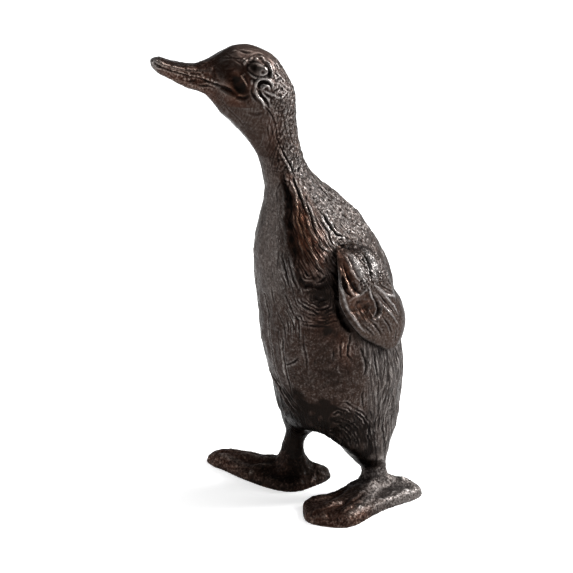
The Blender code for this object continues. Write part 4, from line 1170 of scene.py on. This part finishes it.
# Strokes on a wing's outer face: half width, depth, then angle and height
WING_STROKES = (
    (
        0.8,
        -0.9,
        ((-12.4, 147.6), (-14.4, 141), (-15.6, 134.5), (-15.4, 128.7), (-14, 121), (-9, 113), (-3.6, 107)),
    ),
    (1.0, 1.9, ((-10.5, 144), (-11, 138.9), (-12, 135), (-12, 130.4), (-9, 127.4))),
    (0.7, -1.1, ((-12, 142), (-10.5, 137.8), (-9.6, 133.2), (-7.6, 129.5), (-6, 127.4))),
    (1.7, 2.5, ((-8, 144.6), (-7, 139.4), (-5, 134), (-3, 129.8), (-1, 128))),
    (0.6, -1.2, ((-4, 149), (-3, 145), (-3, 140), (-1, 136.5), (1, 134.4))),
    (2.0, -1.4, ((1.5, 151), (2.5, 145), (3.4, 139), (5, 133.5))),
    (0.9, 1.7, ((15, 151), (15.4, 147), (15, 144), (13.6, 140.4), (12, 137), (10.5, 134))),
    (0.5, -0.7, ((12.6, 147), (12, 142), (10, 138))),
    (2.4, -1.3, ((22, 150), (19.8, 145), (18, 139), (14.6, 134))),
    (
        0.6,
        0.9,
        ((22, 149), (31, 148), (38, 145.5), (43, 142), (35, 139.1), (36, 136.4), (30, 134.9), (24, 137.1)),
    ),
    (1.0, 1.9, ((7.6, 128), (9, 125.4), (11.6, 122.3), (12.4, 118.6), (9.4, 115.3), (5.6, 113.4))),
    (0.6, -1.2, ((6, 130.4), (7, 127.6), (7.6, 125), (9.4, 122.7))),
    (0.7, -1.0, ((11, 131.6), (17, 128.3), (22, 124.4), (35, 120.3))),
    (0.7, -1.1, ((13, 129.6), (18, 126.6), (23, 121.6), (27, 116.6), (28.4, 112))),
    (0.6, 0.9, ((12, 128), (17, 124), (22, 118), (25, 112))),
    (0.6, 0.8, ((18, 130.4), (26, 126), (34, 122.4))),
    (0.7, -0.7, ((14, 121.8), (18, 117), (21.5, 112.6), (25, 107))),
    (0.8, -0.5, ((-12.6, 124.4), (-6, 126.9), (0, 127.6), (6, 129.9))),
    (0.8, 0.9, ((1, 113), (4.6, 110), (7.4, 106.4), (9, 103))),
    (0.8, 0.8, ((12.6, 113.6), (15.4, 110), (17, 106), (17, 102))),
    (0.6, 0.5, ((-5, 112), (-1, 108), (3, 104))),
    (0.6, 0.6, ((22, 106), (22, 102), (20, 98))),
    (0.5, 0.5, ((17, 133), (22, 131.4), (28, 131))),
)
# How far one degree reaches at the wing, and the dish in its lower half: middle, spread both ways, depth
WING_MM_PER_DEGREE = 0.65
WING_HOLLOW = ((-1.5, 120.6), (7.4, 5.6), 2.0)
# Brown patches on a wing: strength, middle (angle, height), spread both ways in mm
WING_BROWN = ((0.8, (-9, 138), (4.0, 12.0)), (0.5, (1, 152), (7.0, 3.5)))
# Pits on a wing: angles, heights, count, half width, depth, spacing
WING_PITS = (
    ((0.0, 50.0), (128.0, 156.0), 420, (0.5, 0.75), (0.2, 0.5), 1.5),
    ((8.0, 40.0), (92.0, 128.0), 120, (0.5, 0.6), (0.08, 0.2), 1.8),
)


def sink_into(body_surface, points, share):
    """Draw points that stand close outside the body to just below its surface, each by its share."""
    for i in np.flatnonzero(share > 0.01):
        hit, normal, _, away = body_surface.find_nearest(Vector(points[i]))
        if hit is not None and away < 9.0 and (Vector(points[i]) - hit).dot(normal) > 0:
            target = hit - normal * 0.4
            points[i] = points[i] + (np.array(target) - points[i]) * share[i]


def shaped_wing(side, body_surface):
    """One wing's carved surface, its root and back edge sunk into the flank."""
    points, faces = node_points("left_wing" if side > 0 else "right_wing")
    points, faces, edges = skinned(mesh_object("wing_casting", points.tolist(), faces), WING_VOXEL)
    points = soften(points, edges, np.full(len(points), 0.5), 14)
    normals = normals_of(points, faces)
    angle, height = torso_terms(points)
    facing = smooth_step(0.0, 0.5, normals[:, 0] * side)
    carving = Carving(points, faces)
    for half_width, depth, places in WING_STROKES:
        carving.mark(carving.torso_line(places, side), half_width, depth, sway=0.25)
    carving.taken |= (carving.cut > 0.3) | (carving.raised > 0.3)
    for angles, heights, count, widths, depths, spacing in WING_PITS:
        carving.pits(within(angle, height, (angles, heights), facing > 0.5), count, widths, depths, spacing)

    (middle, level), (wide, tall), depth = WING_HOLLOW
    around = (angle - middle) * WING_MM_PER_DEGREE
    into_dish = (around / wide) ** 2 + ((height - level) / tall) ** 2 + 0.2 * waves(points, 6.0, 36)
    in_dish = np.exp(-np.clip(into_dish, 0.0, None))
    shape = (carving.relief() - depth * in_dish) * facing
    upper = smooth_step(126.0, 134.0, height)
    knobbly = smooth_step(0.0, 4.0, angle) * upper
    knobs = 0.36 * knobbly * pebbles(points, knobbly > 0.02, 1.9) * smooth_step(150.0, 145.0, height)
    shape += knobs * facing
    pebbled = 0.3 + 0.7 * upper * smooth_step(-10.0, -4.0, angle)
    shape += pebbled * (0.06 * waves(points, 2.0, 11, 30) + 0.12 * waves(points, 4.5, 12, 30))
    shape += 0.06 * in_dish * waves(points, 2.2, 38, 30)
    points = points + normals * shape[:, None]
    back = smooth_step(30.0, 48.0, angle) * smooth_step(116.0, 126.0, height)
    sink_into(body_surface, points, np.maximum(smooth_step(146.0, 154.5, height), back))

    brown = 0.35 * in_dish * (0.8 + 0.4 * waves(points, 3.0, 37))
    for strength, (middle, level), (wide, tall) in WING_BROWN:
        around = (angle - middle) * WING_MM_PER_DEGREE
        brown += strength * np.exp(-((around / wide) ** 2 + ((height - level) / tall) ** 2))
    brown = np.clip(brown, 0.0, 1.0) * smooth_step(-14.5, -12.0, angle)
    terms = finish_terms(points, faces, edges, brown, body_surface)
    strand = np.clip(carving.raised, 0.0, 1.0) * facing
    # Raised strands are rubbed bright with painted highlight, and get no painted shade
    terms["worn_and_painted_highlight"] = np.clip(terms["worn_and_painted_highlight"] + 0.8 * strand, 0.0, 1.0)
    terms["unshaded"] = np.maximum(terms["unshaded"], 0.9 * strand)
    terms["lines"] = 0.15 + 0.55 * knobbly
    terms["grainy"] = 0.4 + 0.6 * knobbly
    terms["matt"] = np.zeros(len(points))
    terms["across"] = angle * MM_PER_DEGREE + 0.25 * height
    terms["along"] = height
    return points, faces, terms


def linear(code):
    """An sRGB hex colour as linear RGBA."""
    values = [int(code[i : i + 2], 16) / 255 for i in (0, 2, 4)]
    return [v / 12.92 if v <= 0.04045 else ((v + 0.055) / 1.055) ** 2.4 for v in values] + [1.0]


def add_node(tree, kind, inputs=None, output=0, **settings):
    """Add one shader node with its settings, set or join its inputs, and give back one of its outputs."""
    made = tree.nodes.new("ShaderNode" + kind)
    for name, value in settings.items():
        setattr(made, name, value)
    for key, value in (inputs or {}).items():
        if isinstance(value, bpy.types.NodeSocket):
            tree.links.new(value, made.inputs[key])
        else:
            made.inputs[key].default_value = value
    return made.outputs[output]


# Sizes of the patterns in mm: unevenness of the wax, the mould's sand, 0.3 mm wide but drawn coarser so
# that it shows, width and length of the finest combed lines, and the mottle of the steel
WAX_CLOUD = 11.0
SAND_GRAIN = 1.1
LINE_WIDTH = 0.9
LINE_LENGTH = 12.0
STEEL_MOTTLE = 0.8
# What a patina, with its painted shade and highlights, is told about each point, and the places of the colour
# sockets of a Mix node
PATINA_TERMS = ("hollow", "worn_and_painted_highlight", "unshaded", "brown", "grainy", "matt", "lines", "across", "along")
FIRST, SECOND, RESULT = 6, 7, 2


def iron_material(name, dark, polished, brown):
    """Cast iron under a dark bronze wax.

    It is painted near black as shade where little of the air above is open and in the hollows, where dark wax
    also lies, and pale brown where ridges are rubbed and where highlights are painted; the pores, specks and
    combed lines of a sand casting break up its gloss.
    """
    made = bpy.data.materials.new(name)
    made.use_nodes = True
    tree = made.node_tree
    shader = tree.nodes["Principled BSDF"]
    add = partial(add_node, tree)
    place = add("TexCoord", output="Object")
    terms = {title: add("Attribute", output="Fac", attribute_name=title) for title in PATINA_TERMS}

    def band(pattern, start, end, ground):
        """Where a pattern passes from one value to another, on the ground that has the pattern."""
        share = add("MapRange", {"Value": pattern, "From Min": start, "From Max": end})
        return add("Math", {0: share, 1: ground}, operation="MULTIPLY")

    of_place = {"Vector": place, "Roughness": 0.6}
    cloud = add("TexNoise", of_place | {"Scale": 1 / (WAX_CLOUD * MM), "Detail": 4.0})
    grain = add("TexNoise", of_place | {"Scale": 1 / (SAND_GRAIN * MM), "Detail": 3.0})
    across = add("Math", {0: terms["across"], 1: 1 / LINE_WIDTH}, operation="MULTIPLY")
    along = add("Math", {0: terms["along"], 1: 1 / LINE_LENGTH}, operation="MULTIPLY")
    in_lines = add("CombineXYZ", {"X": across, "Y": along})
    combing = add("TexNoise", {"Vector": in_lines, "Scale": 1.0, "Detail": 2.0, "Distortion": 0.5})
    # Painted shade where little of the air above is open, and the share left unshaded
    unshaded_share = add("MapRange", {"Value": terms["unshaded"], "From Min": 0.35, "From Max": 0.95})
    painted_shade_share = add("MapRange", {"Value": terms["unshaded"], "From Min": 0.95, "From Max": 0.35})

    # Hollows, pores and combed furrows are painted dark: painted shade together with the dark wax left in
    # them
    furrow = band(combing, 0.51, 0.42, terms["lines"])
    pores = band(grain, 0.5, 0.38, terms["grainy"])
    furrow = add("Math", {0: furrow, 1: pores}, operation="MAXIMUM")
    furrow = add("Math", {0: furrow, 1: 0.8}, operation="MULTIPLY")
    hollow = add("Math", {0: terms["hollow"], 1: furrow}, operation="MAXIMUM")
    crest = band(combing, 0.53, 0.68, terms["lines"])
    specks = band(grain, 0.54, 0.66, terms["grainy"])
    crest = add("Math", {0: crest, 1: specks}, operation="MAXIMUM")
    # Rubbed bright on worn ridges and crests, and pale where highlights are painted
    worn_and_painted_highlight = add("Math", {0: crest, 1: 0.4, 2: terms["worn_and_painted_highlight"]}, operation="MULTIPLY_ADD")
    rubbed_and_painted_highlight = add("Math", {0: worn_and_painted_highlight, 1: unshaded_share}, operation="MULTIPLY")

    bronzed = add("Math", {0: terms["brown"], 1: 0.8}, operation="MULTIPLY")
    layers = {0: bronzed, FIRST: linear(polished), SECOND: linear("8a6244")}
    metal = add("Mix", layers, RESULT, data_type="RGBA")
    colour = linear(dark)
    # Colour layers: the wax cloud and the brown are the iron's own colour; 0d0704 is painted shade where
    # little of the air above is open, the metal mix is rubbed wear with painted highlights, and 070403 is
    # painted shade in the hollows, pores and furrows, together with the dark wax left there
    for share, strength, over in (
        (cloud, 0.6, linear("1d1410")),
        (terms["brown"], 0.85, linear(brown)),
        (painted_shade_share, 1.0, linear("0d0704")),
        (rubbed_and_painted_highlight, 0.74, metal),
        (hollow, 0.95, linear("070403")),
    ):
        share = add("Math", {0: share, 1: strength}, operation="MULTIPLY")
        colour = add("Mix", {0: share, FIRST: colour, SECOND: over}, RESULT, data_type="RGBA")
    tree.links.new(colour, shader.inputs["Base Color"])

    rough = {"Value": cloud, "From Min": 0.3, "From Max": 0.7, "To Min": 0.24, "To Max": 0.35}
    rough = add("MapRange", rough)
    for share, change in ((hollow, 0.25), (terms["matt"], 0.2), (rubbed_and_painted_highlight, -0.1)):
        rough = add("Math", {0: share, 1: change, 2: rough}, operation="MULTIPLY_ADD")
    tree.links.new(rough, shader.inputs["Roughness"])
    shader.inputs["Metallic"].default_value = 0.95
    shader.inputs["Specular Tint"].default_value = (0.5, 0.5, 0.5, 1.0)
    shader.inputs["Coat Weight"].default_value = 0.04
    shader.inputs["Coat Roughness"].default_value = 0.25

    height = add("Math", {0: grain, 1: terms["grainy"]}, operation="MULTIPLY")
    height = add("Math", {0: height, 1: 0.4}, operation="MULTIPLY")
    lines = add("Math", {0: combing, 1: terms["lines"]}, operation="MULTIPLY")
    height = add("Math", {0: lines, 1: 1.9, 2: height}, operation="MULTIPLY_ADD")
    bump = add("Bump", {"Height": height, "Strength": 1.0, "Distance": MM}, output="Normal")
    tree.links.new(bump, shader.inputs["Normal"])
    return made


def steel_material():
    """Blackened steel of the screws: dull and dark, with a faint mottle from the bath."""
    made = bpy.data.materials.new("blackened_steel")
    made.use_nodes = True
    shader = made.node_tree.nodes["Principled BSDF"]
    add = partial(add_node, made.node_tree)
    place = add("TexCoord", output="Object")
    mottle = add("TexNoise", {"Vector": place, "Scale": 1 / (STEEL_MOTTLE * MM), "Detail": 2.0})
    layers = {0: mottle, FIRST: linear("3a3836"), SECOND: linear("55524f")}
    made.node_tree.links.new(add("Mix", layers, RESULT, data_type="RGBA"), shader.inputs["Base Color"])
    shader.inputs["Metallic"].default_value = 1.0
    shader.inputs["Roughness"].default_value = 0.4
    return made


def dress():
    """Build every visible piece of the ornament."""
    iron = iron_material("cast_iron_bronzed", "2d211b", "95908d", "3f1d0d")
    wing_iron = iron_material("cast_iron_bronzed_wing", "2f231c", "918d8b", "402010")
    steel = steel_material()

    points, faces, attributes = shaped_figure()
    body_surface = BVHTree.FromPolygons(points.tolist(), faces)
    for node, piece in parted(points, faces, attributes).items():
        made = mesh_object(node + "_skin", [], [])
        piece.to_mesh(made.data)
        piece.free()
        made.data.transform(Matrix.Diagonal((MM, MM, MM, 1.0)) @ Matrix.Translation(Vector(ORIGIN)))
        put_on(made, iron, node)
    for side, node in ((1.0, "left_wing"), (-1.0, "right_wing")):
        points, faces, attributes = shaped_wing(side, body_surface)
        made = mesh_object(node + "_skin", (points + ORIGIN) * MM, faces)
        for title, values in attributes.items():
            layer = made.data.attributes.new(title, "FLOAT", "POINT")
            layer.data.foreach_set("value", values.astype(np.float32))
        put_on(made, wing_iron, node)
    for name, node in nodes.items():
        if "screw" in name or "washer" in name:
            node.data.materials.clear()
            node.data.materials.append(steel)


# The camera looks at a point of the breast from so far away, with a lens of this length, all in mm
CAMERA_TARGET = (6.06, -2.85, 123.0)
CAMERA_AWAY = (741.3, -428.0, 278.1)
CAMERA_LENS = 104.7
CAMERA_SENSOR = 36.0
# Square lamps aimed at the middle of the ornament: name, side in m, power in W, place in m
LAMPS = (
    ("right_softbox", 0.55, 36.0, (0.34, 1.02, 0.72)),
    ("left_panel", 0.6, 2.5, (-0.55, -1.1, 0.45)),
    ("top_softbox", 0.7, 9.0, (0.1, 0.3, 1.3)),
)
LAMP_AIM = (0.0, 0.0, 0.13)
WHITE = (1.0, 1.0, 1.0, 1.0)


def stand_floor():
    """A matt, pale floor that looks white to the camera and in the iron's gloss, and keeps the shadow."""
    bpy.ops.mesh.primitive_circle_add(vertices=64, radius=6.0, fill_type="NGON", location=(0.0, 0.0, 0.0))
    floor = bpy.context.object
    floor.name = "studio_floor"
    made = bpy.data.materials.new("pale_floor")
    made.use_nodes = True
    tree = made.node_tree
    shader = tree.nodes["Principled BSDF"]
    add = partial(add_node, tree)
    seen = add("LightPath", output="Is Camera Ray")
    for kind in ("Is Glossy Ray", "Is Transmission Ray"):
        seen = add("Math", {0: seen, 1: add("LightPath", output=kind)}, operation="MAXIMUM")
    place = add("TexCoord", output="Object")
    away = add("VectorMath", {0: place}, output="Value", operation="LENGTH")
    glow = {"Value": away, "From Min": 0.3, "From Max": 1.6, "To Min": 0.5, "To Max": 0.85}
    shown = add("Math", {0: seen, 1: add("MapRange", glow)}, operation="MULTIPLY")
    tree.links.new(shown, shader.inputs["Emission Strength"])
    shader.inputs["Emission Color"].default_value = WHITE
    shader.inputs["Base Color"].default_value = (0.82, 0.82, 0.82, 1.0)
    shader.inputs["Roughness"].default_value = 0.9
    floor.data.materials.append(made)


def studio():
    """A pale floor, a white horizon under a dimmer ceiling, three soft lamps and the camera."""
    stand_floor()
    scene = bpy.context.scene
    world = bpy.data.worlds.new("white_studio")
    scene.world = world
    world.use_nodes = True
    add = partial(add_node, world.node_tree)
    direction = add("TexCoord", output="Generated")
    rise = add("SeparateXYZ", {"Vector": direction}, output="Z")
    ceiling = add("MapRange", {"Value": rise, "From Min": 0.16, "From Max": 0.3})
    layers = {0: ceiling, FIRST: WHITE, SECOND: (0.34, 0.34, 0.34, 1.0)}
    colour = add("Mix", layers, RESULT, data_type="RGBA")
    world.node_tree.links.new(colour, world.node_tree.nodes["Background"].inputs["Color"])

    for name, size, power, place in LAMPS:
        light = bpy.data.lights.new(name, "AREA")
        light.shape = "SQUARE"
        light.size = size
        light.energy = power
        lamp = bpy.data.objects.new(name, light)
        lamp.location = place
        lamp.rotation_euler = (Vector(LAMP_AIM) - Vector(place)).to_track_quat("-Z", "Y").to_euler()
        scene.collection.objects.link(lamp)

    camera = bpy.data.cameras.new("camera")
    camera.lens = CAMERA_LENS
    camera.sensor_width = CAMERA_SENSOR
    taken_from = bpy.data.objects.new("camera", camera)
    away = Vector(CAMERA_AWAY) * MM
    taken_from.location = Vector(CAMERA_TARGET) * MM + away
    taken_from.rotation_mode = "QUATERNION"
    taken_from.rotation_quaternion = (-away).to_track_quat("-Z", "Y")
    scene.collection.objects.link(taken_from)
    scene.camera = taken_from
    scene.view_settings.view_transform = "Standard"


dress()
studio()
